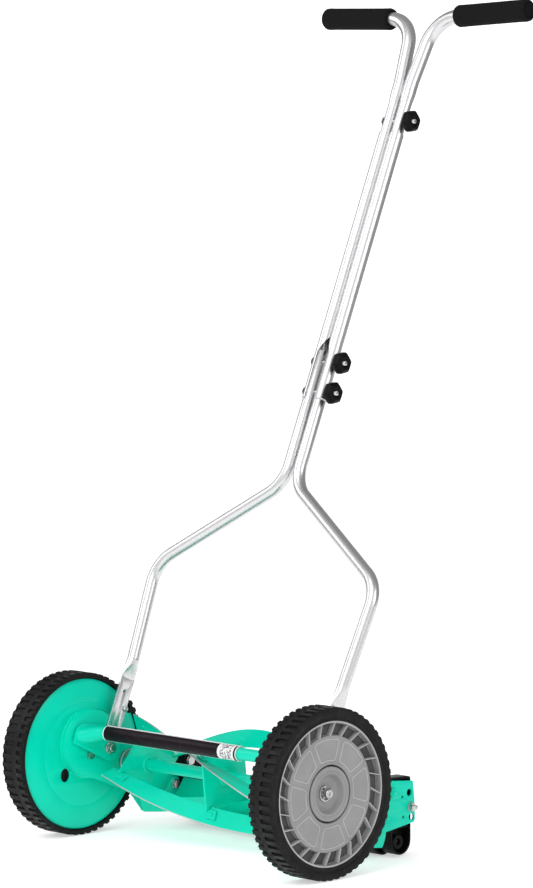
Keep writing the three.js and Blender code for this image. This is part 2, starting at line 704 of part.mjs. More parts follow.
const BUMPER = { y: 56, z: -8.5 };

// A rubber stub behind the foot's edge. Its half-round tongue lies along the foot's inner face
// and is plugged through it.
function bumper() {
  const inside = FOOT.x - FOOT.t / 2 - GAP;
  const edge = -FOOT.half - GAP;
  const stub = new THREE.CylinderGeometry(3.2, 3.2, 14, 16);
  stub.rotateX(Math.PI / 2);
  stub.translate(FOOT.x + FOOT.t / 2 - 3.2, BUMPER.y, -13);
  const relief = block(inside, inside + 10, BUMPER.y - 10, BUMPER.y + 10, edge, 10);
  return join(cut(solid(stub), relief), bar(2, inside - 1, inside + FOOT.t, BUMPER, 10));
}

const pivotBolt = () => join(
  bar(5, 183, 203, { y: 0, z: 0 }),
  hexagon(9, PLATE_IN + PLATE_T + 2.1 + 2 * GAP, PLATE_IN + PLATE_T + 6.5, { y: 0, z: 0 }),
  bar(8, 188.8, 190.1, { y: 0, z: 0 }, 20),
  hexagon(7.5, 184.3, 188.9, { y: 0, z: 0 }));

// A round-headed bolt through both tubes; its knob screws on at the right.
function clampBolt(t, outside) {
  const at = { y: t, z: 0 };
  return turned([
    [0, -outside - 3.4], [4, -outside - 3], [6.5, -outside - 0.6], [6.5, -outside],
    [3, -outside], [3, outside + KNOB.length + 0.4], [0, outside + KNOB.length + 0.4],
  ], at, 10);
}

function knob(t, outside) {
  const end = outside + KNOB.length;
  return turned([
    [KNOB.bore, outside], [8, outside], [8.5, outside + 2.5], [KNOB.r - 2.5, outside + 5],
    [KNOB.r, outside + 8], [KNOB.r, outside + 12.5], [KNOB.r - 5, end], [KNOB.bore, end],
    [KNOB.bore, outside],
  ], { y: t, z: 0 }, 6);
}

addPair('lower_tube', lowerTube(), ZINC, handle);
addPair('mid_tube', midTube(), ZINC, handle);
addPair('upper_tube', upperTube(), ZINC, handle);
addPair('foot_bumper', bumper(), BLACK, handle);
addPair('pivot_bolt', pivotBolt(), ZINC, handle);
for (const side of [1, -1]) {
  const mesh = addTo(handle, side > 0 ? 'grip_right' : 'grip_left', grip(), FOAM);
  mesh.position.set(side * GRIP.from, gripLine(GRIP.from), 0);
  mesh.rotation.z = -side * THREE.MathUtils.degToRad(90 - GRIP.rise);
}
for (const [where, t] of Object.entries(CLAMP_T)) {
  const outside = PAIR_X + GAP + (where === 'top' ? UPPER_NECK.r : MID_R);
  addTo(handle, `clamp_bolt_${where}`, clampBolt(t, outside), ZINC);
  addTo(handle, `knob_${where}`, knob(t, outside), BLACK);
}

// The origin is on the ground, under the middle of the mower.
const box = new THREE.Box3().setFromObject(mower, true);
mower.position.y = -(box.min.y + box.max.y) / 2;

export default mower;
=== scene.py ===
"""A push reel mower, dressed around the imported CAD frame.

Builders work in millimetres with X across the mower, in one of the local frames below. AXLE, REEL,
ROLLER and HANDLE_PIVOT lie on a joint's axis. HANDLE lies on the pivot with Y running up the
handle. GROUND has Y from the axle and Z from the floor. `place` turns them into metres.
"""
import json
from math import acos, asin, atan2, copysign, cos, pi, radians, sin, sqrt, tan, tau

import bmesh
import bpy
from mathutils import Matrix, Vector


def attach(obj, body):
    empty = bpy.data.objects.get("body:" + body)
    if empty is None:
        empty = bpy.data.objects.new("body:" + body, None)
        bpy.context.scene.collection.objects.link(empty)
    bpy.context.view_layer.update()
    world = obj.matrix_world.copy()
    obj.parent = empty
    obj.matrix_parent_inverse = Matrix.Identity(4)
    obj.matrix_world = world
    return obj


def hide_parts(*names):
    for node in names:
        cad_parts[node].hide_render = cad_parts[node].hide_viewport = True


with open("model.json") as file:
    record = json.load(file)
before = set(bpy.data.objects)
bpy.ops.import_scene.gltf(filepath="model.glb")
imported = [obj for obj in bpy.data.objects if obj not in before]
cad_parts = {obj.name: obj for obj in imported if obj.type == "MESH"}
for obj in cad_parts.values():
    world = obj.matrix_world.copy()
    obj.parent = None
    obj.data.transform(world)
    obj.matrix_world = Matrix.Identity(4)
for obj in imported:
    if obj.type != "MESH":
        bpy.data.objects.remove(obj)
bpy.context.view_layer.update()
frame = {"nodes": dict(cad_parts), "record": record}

# ---- places and driving sizes

JOINTS = {joint["name"]: joint for joint in frame["record"]["behaviour"]["joints"]}
HANDLE_LEAN = radians(67.35)


def at_joint(name):
    """The local frame whose origin lies on a joint's axis, in the mower's middle plane."""
    _, y, z = JOINTS[name]["pos_m"]
    return Matrix.Translation((0, y, z))


AXLE = at_joint("wheel_right_spin")
REEL = at_joint("reel_spin")
ROLLER = at_joint("roller_spin")
HANDLE_PIVOT = at_joint("handle_tilt")
HANDLE = HANDLE_PIVOT @ Matrix.Rotation(HANDLE_LEAN, 4, "X")
GROUND = Matrix.Translation((0, AXLE.translation.y, 0))

GAP = 0.3    # between neighbouring pieces

WHEEL_R = 108.0
LUGS = 58
RIBS = 24
PETALS = 8
PETAL_PHASE = radians(49.5)
RIM_R = 91.9
RING_TEETH = 67
GEAR_PHASE = radians(-12.9)

REEL_R = 67.3
BLADES = 4
BLADE_HALF = 177.0
BLADE_W = 24.0
BLADE_T = 2.0
BLADE_LEAN = radians(10)
BLADE_TWIST = radians(0.317)
BLADE_PHASE = radians(-116)
SPIDERS = {"left": -158.0, "middle": -12.0, "right": 158.0}
SPIDER_HALF = 38.0
SPIDER_LAG = radians(9)

# (y, z) from the axle, and the same places from the floor
PIVOT = (28.5, 7.9)
REEL_AT = (68.23, -15.63)
PIVOT_GROUND = (PIVOT[0], PIVOT[1] + WHEEL_R)
REEL_GROUND = (REEL_AT[0], REEL_AT[1] + WHEEL_R)

PLATE_IN = 197.0
PLATE_T = 3.0
PLATE_OUT = PLATE_IN + PLATE_T
HEIGHT_BOLT = (196.0, 63.5)
BRACKET_BOLT = (160.0, 86.0)
CUTTER_BOLT = (151.0, 53.0)
AXLE_HOLE = 6.3
PIVOT_HOLE = 5.3
BOLT_HOLE = 3.3
SPARE_HOLES = ((4.6, (193, 82.5)), (4.6, (197, 50.5)), (2.6, (126, 97)), (1.8, (180, 78)),
               (1.8, (182, 52)))     # radius, place
GUSSET_IN = 190.4
GUSSET_OUT = 193.4
BOSS = (5.0, 122.0, 45.5)            # y, z, radius
CROSSBAR = (0.0, 141.0, 8.0)         # y, z, radius
PRESSED_FROM = 164
BAND = (-162.0, 88.0, 10.2)          # start, end, radius
PALE_FROM = 54.0

KNIFE_BEARING = radians(-60)
KNIFE_T = 2.0
SCREWS = 5
APRON_HALF = 176
BRACKET_IN = 175.0
ROLLER_AT = (176.0, 20.0)
ROLLER_HALF = 171

FOOT_X = 195.2
FOOT_T = 3.0
FOOT_HALF = 12.0
FOOT_TOP = 122
BUMPER = (56.0, -8.5)                # up the handle, and across it
LOWER_R = 8.25
ELBOW = (205.0, 257.6)               # x, up the handle
PAIR_X = 10.2
NECK_T = 382.6
LOWER_TOP = 568.0
MID_R = 9.5
MID_BORE = 8.6
MID_SPAN = (500.0, 879.5)
FINE_TO = 620
CHANNEL_TOP = 573.0
UPPER_R = 9.5
TUBE_SIDES = 40
UPPER_NECK = (848.0, 925.0, 8.2)     # start, end, radius
FORK_T = 945.0
TEE = (20.9, 1048.4)                 # x, up the handle
TEE_R = 46.0
GRIP = (61.6, 185.6, 15.0)           # start, end, radius
GRIP_RISE = radians(2)
CLAMPS = {"low": 511.0, "high": 553.0, "top": 898.0}
KNOB_LENGTH = 18.0

# ---- materials


def node_material(name, color, roughness, metallic=0.0, **inputs):
    """A principled material with its constants set, and the handles that detail is wired to."""
    material = bpy.data.materials.new(name)
    material.use_nodes = True
    nodes = material.node_tree.nodes
    shader = nodes["Principled BSDF"]
    shader.inputs["Base Color"].default_value = (*color, 1)
    shader.inputs["Roughness"].default_value = roughness
    shader.inputs["Metallic"].default_value = metallic
    for key, value in inputs.items():
        shader.inputs[key.replace("_", " ")].default_value = value
    return material, material.node_tree, shader


def noise(tree, scale, detail, stretch=(1, 1, 1)):
    """Noise in the object's own coordinates, in metres, stretched along its axes."""
    coords = tree.nodes.new("ShaderNodeTexCoord")
    mapping = tree.nodes.new("ShaderNodeMapping")
    mapping.inputs["Scale"].default_value = stretch
    texture = tree.nodes.new("ShaderNodeTexNoise")
    texture.inputs["Scale"].default_value = scale
    texture.inputs["Detail"].default_value = detail
    tree.links.new(coords.outputs["Object"], mapping.inputs["Vector"])
    tree.links.new(mapping.outputs["Vector"], texture.inputs["Vector"])
    return texture.outputs["Fac"]


def ramp(tree, factor, stops):
    """A colour ramp over a factor. Each stop is (position, colour or grey value)."""
    node = tree.nodes.new("ShaderNodeValToRGB")
    node.color_ramp.elements.remove(node.color_ramp.elements[1])
    for i, (position, value) in enumerate(stops):
        element = node.color_ramp.elements[0] if i == 0 else node.color_ramp.elements.new(position)
        element.position = position
        element.color = (*value, 1) if isinstance(value, tuple) else (value, value, value, 1)
    tree.links.new(factor, node.inputs["Fac"])
    return node.outputs["Color"]


def edge_mask(tree, radius):
    """1 along edges and corners, 0 on flat faces."""
    bevel = tree.nodes.new("ShaderNodeBevel")
    bevel.samples = 6
    bevel.inputs["Radius"].default_value = radius
    geometry = tree.nodes.new("ShaderNodeNewGeometry")
    dot = tree.nodes.new("ShaderNodeVectorMath")
    dot.operation = "DOT_PRODUCT"
    tree.links.new(bevel.outputs["Normal"], dot.inputs[0])
    tree.links.new(geometry.outputs["Normal"], dot.inputs[1])
    return ramp(tree, dot.outputs["Value"], [(0.6, 1.0), (0.95, 0.0)])


def mix(tree, factor, a, b):
    """Colour a where the factor is 0 and colour b where it is 1."""
    node = tree.nodes.new("ShaderNodeMix")
    node.data_type = "RGBA"
    for name, value in (("Factor", factor), ("A", a), ("B", b)):
        socket = node.inputs[name]
        if isinstance(value, (tuple, float)):
            socket.default_value = (*value, 1) if isinstance(value, tuple) else value
        else:
            tree.links.new(value, socket)
    return node.outputs["Result"]


def bump(tree, shader, height, strength, distance):
    node = tree.nodes.new("ShaderNodeBump")
    node.inputs["Strength"].default_value = strength
    node.inputs["Distance"].default_value = distance
    tree.links.new(height, node.inputs["Height"])
    tree.links.new(node.outputs["Normal"], shader.inputs["Normal"])


def teal_paint():
    """Glossy enamel: slight shade drift, orange peel and fractionally paler edges, which are a painted
    highlight.
    """
    material, tree, shader = node_material("teal_enamel", (0.0, 0.64, 0.44), 0.36, 0.0,
                                           Coat_Weight=0.15, Coat_Roughness=0.12, Specular_IOR_Level=0.08)
    drift = ramp(tree, noise(tree, 14, 3), [(0.3, (0.0, 0.61, 0.42)), (0.7, (0.0, 0.68, 0.475))])
    # paler teal along edges and corners: a painted edge highlight
    painted_edge_highlight = mix(tree, edge_mask(tree, 0.0008), drift, (0.01, 0.72, 0.53))
    tree.links.new(painted_edge_highlight, shader.inputs["Base Color"])
    tree.links.new(ramp(tree, noise(tree, 60, 5), [(0.3, 0.28), (0.75, 0.42)]), shader.inputs["Roughness"])
    bump(tree, shader, noise(tree, 420, 2), 0.1, 0.0005)
    return material


def metal(name, color, low, high, stretch, scale=90):
    """Plated or bare metal, with streaks drawn along `stretch`'s small axis."""
    material, tree, shader = node_material(name, color, (low + high) / 2, 1.0)
    streaks = noise(tree, scale, 6, stretch)
    darker = tuple(0.93 * c for c in color)
    base = ramp(tree, streaks, [(0.3, darker), (0.62, color)])
    tree.links.new(mix(tree, edge_mask(tree, 0.0008), base, (0.9, 0.9, 0.9)), shader.inputs["Base Color"])
    tree.links.new(ramp(tree, streaks, [(0.3, high), (0.7, low)]), shader.inputs["Roughness"])
    bump(tree, shader, streaks, 0.03, 0.0003)
    return material


def rubber():
    """Moulded tyre rubber, paler along its edges."""
    material, tree, shader = node_material("tyre_rubber", (0.006, 0.006, 0.006), 0.6, 0.0,
                                           Specular_IOR_Level=0.18)
    base = ramp(tree, noise(tree, 45, 5), [(0.3, (0.003, 0.003, 0.003)), (0.75, (0.009, 0.009, 0.0095))])
    tree.links.new(mix(tree, edge_mask(tree, 0.0009), base, (0.026, 0.026, 0.027)), shader.inputs["Base Color"])
    tree.links.new(ramp(tree, noise(tree, 150, 4), [(0.3, 0.45), (0.7, 0.68)]), shader.inputs["Roughness"])
    bump(tree, shader, noise(tree, 900, 3), 0.25, 0.0004)
    return material


def plastic(name, dark, light, roughness, specular, edge):
    """Moulded plastic: fine spark-eroded grain, soft shade drift and edges of another grey."""
    low, high = roughness
    material, tree, shader = node_material(name, (light,) * 3, high, 0.0, Specular_IOR_Level=specular)
    base = ramp(tree, noise(tree, 30, 4), [(0.3, dark), (0.7, light)])
    tree.links.new(mix(tree, edge_mask(tree, 0.0006), base, (edge,) * 3), shader.inputs["Base Color"])
    tree.links.new(ramp(tree, noise(tree, 80, 4), [(0.3, low), (0.7, high)]), shader.inputs["Roughness"])
    bump(tree, shader, noise(tree, 700, 3), 0.15, 0.0003)
    return material


def foam():
    """Closed-cell foam: open pits over a dull black skin."""
    material, tree, shader = node_material("grip_foam", (0.006, 0.006, 0.006), 0.95, 0.0,
                                           Specular_IOR_Level=0.08)
    cells = tree.nodes.new("ShaderNodeTexVoronoi")
    cells.inputs["Scale"].default_value = 900
    coords = tree.nodes.new("ShaderNodeTexCoord")
    tree.links.new(coords.outputs["Object"], cells.inputs["Vector"])
    tree.links.new(ramp(tree, cells.outputs["Distance"], [(0.0, (0.002, 0.002, 0.002)),
                                                         (0.6, (0.010, 0.010, 0.0105))]),
                   shader.inputs["Base Color"])
    bump(tree, shader, cells.outputs["Distance"], 0.5, 0.0006)
    return material


def banded(tree, output, start, end, stops):
    """Sharp-edged stripes along one object coordinate. Each stop is (millimetres, colour)."""
    coords = tree.nodes.new("ShaderNodeTexCoord")
    split = tree.nodes.new("ShaderNodeSeparateXYZ")
    tree.links.new(coords.outputs["Object"], split.inputs["Vector"])
    span = tree.nodes.new("ShaderNodeMapRange")
    span.inputs["From Min"].default_value = start / 1000
    span.inputs["From Max"].default_value = end / 1000
    tree.links.new(split.outputs[output], span.inputs["Value"])
    shares = [((at - start) / (end - start), value) for at, value in stops]
    stripes = ramp(tree, span.outputs["Result"], shares)
    stripes.node.color_ramp.interpolation = "CONSTANT"
    return stripes


def band_film():
    """The band's film: black with pale borders, a pale stretch and a thin dark ring near one end."""
    black = (0.008, 0.003, 0.007)
    material, tree, shader = node_material("band_film", black, 0.35, 0.0, Specular_IOR_Level=0.1)
    _, z, _ = CROSSBAR
    start, end, _ = BAND
    white = (0.78, 0.78, 0.79)
    lengthwise = banded(tree, "X", start, end, [
        (start, white), (start + 1.5, black), (PALE_FROM, white), (end - 4, black), (end - 1.5, white)])
    borders = banded(tree, "Z", z - 11, z + 11, [(z - 11, 1.0), (z - 9.2, 0.0), (z + 9.7, 1.0)])
    window = banded(tree, "X", start, end, [(start, 0.0), (PALE_FROM + 5, 1.0), (end - 8, 0.0)])
    smudges = ramp(tree, noise(tree, 380, 2), [(0.47, (0.2, 0.2, 0.2)), (0.53, white)])
    edged = mix(tree, borders, mix(tree, window, lengthwise, smudges), white)
    scuffs = ramp(tree, noise(tree, 120, 5), [(0.55, 0.0), (0.8, 0.05)])
    scuffed = mix(tree, scuffs, edged, (0.3, 0.3, 0.3))
    tree.links.new(scuffed, shader.inputs["Base Color"])
    tree.links.new(ramp(tree, noise(tree, 60, 4), [(0.3, 0.25), (0.7, 0.45)]), shader.inputs["Roughness"])
    bump(tree, shader, noise(tree, 300, 3), 0.08, 0.0004)
    return material


TEAL = teal_paint()
ZINC = metal("zinc_tube", (0.66, 0.66, 0.67), 0.25, 0.32, (20, 2, 2))
BOLT = metal("zinc_bolt", (0.50, 0.50, 0.50), 0.16, 0.32, (6, 6, 6), 200)
STEEL = metal("bare_steel", (0.50, 0.51, 0.52), 0.25, 0.42, (3, 30, 30), 140)
RUBBER = rubber()
GREY = plastic("grey_plastic", 0.25, 0.29, (0.45, 0.6), 0.3, 0.46)
# a dark grey that paints shade into the wheel's recesses
GREY_PAINTED_SHADE = plastic("grey_painted_shade", 0.06, 0.09, (0.5, 0.7), 0.12, 0.12)
# a lighter grey that paints highlights on the wheel's ribs, beads and rim edge
GREY_PAINTED_HIGHLIGHT = plastic("grey_painted_edge_highlight", 0.37, 0.45, (0.4, 0.55), 0.3, 0.52)
BLACK = plastic("black_plastic", 0.002, 0.005, (0.35, 0.5), 0.09, 0.014)
FOAM = foam()
FILM = band_film()

# ---- mesh tools


def loft(bm, rings, closed=False):
    """Skins rings of points and caps the ends, or with `closed` joins the last to the first."""
    rows = [[bm.verts.new(point) for point in ring] for ring in rings]
    pairs = list(zip(rows, rows[1:] + rows[:1] if closed else rows[1:]))
    count = len(rows[0])
    for a, b in pairs:
        for i in range(count):
            j = (i + 1) % count
            bm.faces.new((a[i], a[j], b[j], b[i]))
    if not closed:
        bm.faces.new(rows[0][::-1])
        bm.faces.new(rows[-1])


def polar(r, angle, centre=(0, 0)):
    """A point round a centre."""
    return (centre[0] + r * cos(angle), centre[1] + r * sin(angle))


def circle(r, centre=(0, 0), count=32):
    return [polar(r, tau * i / count, centre) for i in range(count)]


def turn(bm, profile, centre=(0, 0), sides=48, matrix=None):
    """A closed profile of (radius, x) points turned about an X line through centre (y, z)."""
    rings = []
    for r, x in profile:
        ring = [Vector((x, y, z)) for y, z in circle(max(r, 0.01), centre, sides)]
        rings.append([matrix @ point for point in ring] if matrix else ring)
    loft(bm, rings, closed=True)


def rod(bm, r, x0, x1, centre=(0, 0), sides=32, chamfer=0.5):
    """A round bar along X with chamfered ends."""
    neck = r - chamfer
    turn(bm, [(0, x0), (neck, x0), (r, x0 + chamfer), (r, x1 - chamfer), (neck, x1), (0, x1)], centre, sides)


def washer(bm, bore, r, x0, x1, centre=(0, 0)):
    turn(bm, [(bore, x0), (r - 0.3, x0), (r, x0 + 0.3), (r, x1 - 0.3), (r - 0.3, x1), (bore, x1)], centre)


def hexagon(bm, across, x0, x1, centre=(0, 0), phase=0.0):
    """A hexagon nut or head along X, its corners chamfered round at both ends."""
    corner = across / sqrt(3)
    rings = []
    inset = 0.14 * (x1 - x0)
    for x, limit in ((x0, 0.9), (x0 + inset, 1.0), (x1 - inset, 1.0), (x1, 0.9)):
        ring = []
        for i in range(48):
            a = tau * i / 48
            side = (a + pi / 6) % (pi / 3) - pi / 6
            y, z = polar(min(across / 2 / cos(side), corner * limit), a + phase, centre)
            ring.append((x, y, z))
        rings.append(ring)
    loft(bm, rings)


def thread(bm, r, x0, x1, centre=(0, 0), pitch=1.0):
    """A threaded shank: a ridge for each pitch, and a pointed start."""
    profile = [(0, x0)]
    count = max(2, round(abs(x1 - x0) / pitch))
    step = (x1 - x0) / count
    for i in range(count):
        profile += [(r - 0.5, x0 + step * i), (r, x0 + step * (i + 0.5))]
    profile += [(r - 0.8, x1), (0, x1)]
    turn(bm, profile, centre, 24)


def flat(bm, outlines, x0, x1, bevel=0.4, matrix=None):
    """A plate in the YZ plane from x0 to x1, cut to its first outline and holed by the others."""
    curve = bpy.data.curves.new("outline", "CURVE")
    curve.dimensions = "2D"
    curve.fill_mode = "BOTH"
    curve.extrude = (x1 - x0) / 2 - bevel
    curve.bevel_depth = bevel
    curve.bevel_resolution = 1
    curve.offset = -bevel
    for points in outlines:
        spline = curve.splines.new("POLY")
        spline.points.add(len(points) - 1)
        for point, (a, b) in zip(spline.points, points):
            point.co = (a, b, 0, 1)
        spline.use_cyclic_u = True
    holder = bpy.data.objects.new("outline", curve)
    mesh = bpy.data.meshes.new_from_object(holder)
    sideways = Matrix(((0, 0, 1, (x0 + x1) / 2), (1, 0, 0, 0), (0, 1, 0, 0), (0, 0, 0, 1)))
    mesh.transform(matrix @ sideways if matrix else sideways)
    bm.from_mesh(mesh)
    bpy.data.objects.remove(holder)
    bpy.data.curves.remove(curve)
    bpy.data.meshes.remove(mesh)


def corners(route, radii, pieces):
    """Points along straight runs whose inner corners are rounded to the given radii."""
    points = [Vector(route[0])]
    for before, at, after, r in zip(route, route[1:], route[2:], radii):
        corner = Vector(at)
        back = (Vector(before) - corner).normalized()
        on = (Vector(after) - corner).normalized()
        half = acos(max(-1, min(1, back.dot(on)))) / 2
        if r == 0:
            points.append(corner)
            continue
        centre = corner + (back + on).normalized() * r / sin(half)
        start = corner + back * r / tan(half) - centre
        end = corner + on * r / tan(half) - centre
        sweep = atan2(start.cross(end), start.dot(end))
        points += [centre + Matrix.Rotation(sweep * k / pieces, 2) @ start for k in range(pieces + 1)]
    points.append(Vector(route[-1]))
    return points


def rounded(route, radii, pieces=6):
    """A closed outline whose corners are rounded: by one radius, or by radii[i] at route[i]."""
    if not isinstance(radii, (list, tuple)):
        radii = [radii] * len(route)
    around = [route[-1], *route, route[0]]
    return [tuple(point) for point in corners(around, radii, pieces)[1:-1]]


def pipe(bm, path, radius):
    """A solid tube along a path in the XY plane, its radius a function of the path's (x, y)."""
    rings = []
    for i, point in enumerate(path):
        before, after = path[max(i - 1, 0)], path[min(i + 1, len(path) - 1)]
        along = (Vector(point) - Vector(before)).normalized() + (Vector(after) - Vector(point)).normalized()
        along.normalize()
        rings.append([(point[0] + along.y * a, point[1] - along.x * a, b)
                      for a, b in circle(radius(point), count=TUBE_SIDES)])
    loft(bm, rings)


def ease(t):
    """Goes from 0 to 1 with a level start and end."""
    return t * t * (3 - 2 * t)


def squashed(half_a, half_b, squareness, count):
    """An ellipse of two half widths, squarer as `squareness` grows from 0."""
    power = 2 / (2 + squareness)
    points = []
    for i in range(count):
        a = tau * i / count
        c, d = cos(a), sin(a)
        points.append((half_a * copysign(abs(c) ** power, c),
                       half_b * copysign(abs(d) ** power, d)))
    return points


def both_sides(inner, outer):
    """The spans along X between two distances from the middle, on the left and the right."""
    return [sorted((sign * inner, sign * outer)) for sign in (-1, 1)]


def place(bm, name, where, materials, body, stands_for, slot, smooth=35, mirror=False, skin=False):
    """Finishes a piece: in metres, in its frame, shaded, given its finish, riding on its body.

    An open skin is built facing outwards and keeps the side it faces.
    """
    bmesh.ops.remove_doubles(bm, verts=bm.verts, dist=1e-4)
    if not skin:
        bmesh.ops.recalc_face_normals(bm, faces=bm.faces)
    bmesh.ops.scale(bm, vec=(-0.001 if mirror else 0.001, 0.001, 0.001), verts=bm.verts)
    if mirror:
        bmesh.ops.reverse_faces(bm, faces=bm.faces)
    bm.transform(where.to_3x3().to_4x4())
    mesh = bpy.data.meshes.new(name)
    bm.to_mesh(mesh)
    bm.free()
    mesh.shade_smooth()
    mesh.set_sharp_from_angle(angle=radians(smooth))
    for material in materials if isinstance(materials, list) else [materials]:
        mesh.materials.append(material)
    piece = bpy.data.objects.new(name, mesh)
    bpy.context.scene.collection.objects.link(piece)
    piece.matrix_world = Matrix.Translation(where.translation)
    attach(piece, body)
    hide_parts(*stands_for)
    return piece


def one(build, name, where, materials, body, slot):
    """A piece built once, by build(bm), in place of the node of that name."""
    bm = bmesh.new()
    build(bm)
    place(bm, f"{name}_look", where, materials, body, [name], slot)


def pair(build, name, where, materials, body, slot, **options):
    """A piece built at the right (+X), and its mirror image at the left."""
    made = []
    for side in ("right", "left"):
        bm = bmesh.new()
        build(bm)
        made.append(place(bm, f"{name}_{side}_look", where, materials, body.format(side),
                          [f"{name}_{side}"], slot, mirror=side == "left", **options))
    return made


def painted(bm, index, build):
    """Gives the faces that build() adds the piece's material at that index."""
    known = len(bm.faces)
    build()
    bm.faces.ensure_lookup_table()
    for face in bm.faces[known:]:
        face.material_index = index


# ---- wheels and tyres


def tyre(bm):
    """Two rows of lugs either side of a centre rib, over rounded shoulders and a smooth sidewall."""
    crown = [    # x, radius between the lugs, radius on a lug
        (211.7, 102.0, 102.6), (211.8, 104.4, 106.8), (212.2, 105.3, 107.9), (213.0, 105.4, 108.0),
        (222.7, 105.4, 108.0), (223.2, 107.3, 107.8), (223.6, 107.6, 107.6), (226.4, 107.6, 107.6),
        (226.7, 107.9, 107.9), (227.3, 107.9, 107.9), (227.6, 107.6, 107.6), (230.3, 107.6, 107.6),
        (230.7, 107.3, 107.8), (231.2, 105.3, 108.0), (247.2, 105.3, 108.0), (247.9, 106.8, 108.0),
        (249.2, 106.8, 108.0), (249.8, 106.2, 107.4), (250.0, 105.2, 106.0),
    ]
    sidewall = [
        (250.0, 98.6), (249.8, 98.0), (249.3, 97.6), (249.1, 97.0), (249.1, 94.2), (249.5, 93.6),
        (249.6, 92.0), (249.3, 91.4), (249.0, 91.4), (248.6, 92.3), (217.0, 92.3), (217.0, 100.8),
        (212.0, 100.8),
    ]
    rings = []
    for lug in range(LUGS):
        middle = 360 * lug / LUGS - 90
        for away, height in ((-1.74, 0), (-1.58, 0.8), (-1.38, 1), (1.38, 1), (1.58, 0.8), (1.74, 0)):
            a = radians(middle + away)
            ring = [(x, *polar(low + (high - low) * height, a)) for x, low, high in crown]
            rings.append(ring + [(x, *polar(r, a)) for x, r in sidewall])
    loft(bm, rings, closed=True)


def toothed(teeth, root, tip, at_root, at_tip, phase):
    """A gear's outline: trapezoid teeth, `at_root` and `at_tip` millimetres wide."""
    points = []
    for i in range(teeth):
        middle = phase + tau * i / teeth
        points += [polar(root, middle - at_root / root / 2), polar(tip, middle - at_tip / tip / 2),
                   polar(tip, middle + at_tip / tip / 2), polar(root, middle + at_root / root / 2)]
    return points


def petal(middle, inset):
    """One panel of the wheel's disc, its long sides parallel to the channels beside it."""
    half = pi / PETALS
    channel, near, far = 3.6 + inset, 41.5 + inset, 69 - inset
    inner = half - asin(channel / near)
    outer = half - asin(channel / far)
    route = [polar(near, inner * (k / 2 - 1)) for k in range(5)]
    route += [polar(far, outer * (1 - k / 3)) for k in range(7)]
    smoothed = rounded(route, [5 - inset, 0, 0, 0, 5 - inset, 4 - inset, 0, 0, 0, 0, 0, 4 - inset], 5)
    turned = Matrix.Rotation(middle, 2)
    return [tuple(turned @ Vector(point)) for point in smoothed]


def wheel(bm):
    """Hub, flat disc with beaded petal panels, slanted ribs inside the rim, and the gear ring; the ribs,
    beads and rim edge in a lighter grey as painted highlights, the pocket floors and hub groove in a dark
    grey as painted shade.
    """
    turn(bm, [
        (AXLE_HOLE, 219.3), (13.5, 219.3), (14, 220), (14, 232), (RIM_R, 232), (RIM_R, 248.0), (91.0, 248.8),
        (89.6, 248.8), (88.9, 248.1), (88.4, 241.4), (87.6, 240.6), (73.9, 240.6), (73.2, 241.3),
        (72.9, 245.8), (72.2, 246.4), (39.4, 246.4), (38.9, 246.9), (37.2, 246.9), (36.6, 246.2),
        (36.4, 241.0), (34.4, 241.0), (34.2, 246.4), (33.7, 247.0), (29.6, 247.0), (28.9, 246.4),
        (28.2, 246.4), (27.6, 247.0), (25.6, 247.0), (24.7, 246.2), (22.6, 239.5), (21.6, 238.2),
        (20.4, 237.6), (13.2, 237.6), (12.8, 238.1), (11.6, 238.1), (11.2, 237.6), (AXLE_HOLE, 237.6),
    ], sides=128)
    gear = toothed(RING_TEETH, 86.85, 82.05, 5, 2, GEAR_PHASE)
    flat(bm, [circle(RIM_R, count=128), gear], 219, 232.4, 0.3)
    step = tau / RIBS
    slant = radians(-5.5)
    for i in range(RIBS):
        low, high = polar(72.6, i * step), polar(88.8, i * step + slant)
        along = (Vector(high) - Vector(low)).normalized()
        side = Vector((-along.y, along.x)) * 0.6
        edges = ((low, -side), (high, -side), (high, side), (low, side))
        outline = [tuple(Vector(point) + away) for point, away in edges]
        # painted highlight: the ribs in the lighter grey
        painted(bm, 2, lambda: flat(bm, [outline], 240, 248.0, 0.3))
    for i in range(PETALS):
        middle = PETAL_PHASE + tau * i / PETALS
        # painted highlight: the petal beads in the lighter grey
        painted(bm, 2, lambda: flat(bm, [petal(middle, 0), petal(middle, 1.3)], 246.0, 247.0, 0.35))
    # painted highlight: the rim edge ring in the lighter grey
    painted(bm, 2, lambda: washer(bm, 89.3, 91.2, 248.2, 248.95))
    # painted shade: dark grey rings on the pocket floors and in the hub groove
    painted(bm, 1, lambda: washer(bm, 73.6, 88.0, 240.2, 240.9))
    painted(bm, 1, lambda: washer(bm, 34.2, 36.6, 240.6, 241.3))


pair(tyre, "tyre", AXLE, RUBBER, "wheel_{}", "tyre_rubber", smooth=28)
pair(wheel, "wheel", AXLE, [GREY, GREY_PAINTED_SHADE, GREY_PAINTED_HIGHLIGHT], "wheel_{}", "grey_plastic", smooth=30)


def axle_bolt(bm):
    """A shouldered axle, its stud nutted from inside, with turned rings on its end."""
    inside, outside = PLATE_IN - 3.3, PLATE_OUT + GAP
    hexagon(bm, 10.4, inside, PLATE_IN - GAP)
    turn(bm, [(0, inside + 0.1), (3.5, inside + 0.1), (3.5, outside), (6, outside), (6, 237.7), (5, 237.8),
              (5, 240.4), (6, 240.5), (6, 245.4), (5.3, 246.4), (4.4, 246.4), (4.1, 245.9), (3.5, 245.9),
              (3.2, 246.4), (2.2, 246.4), (1.5, 244.8), (0, 244.5)])


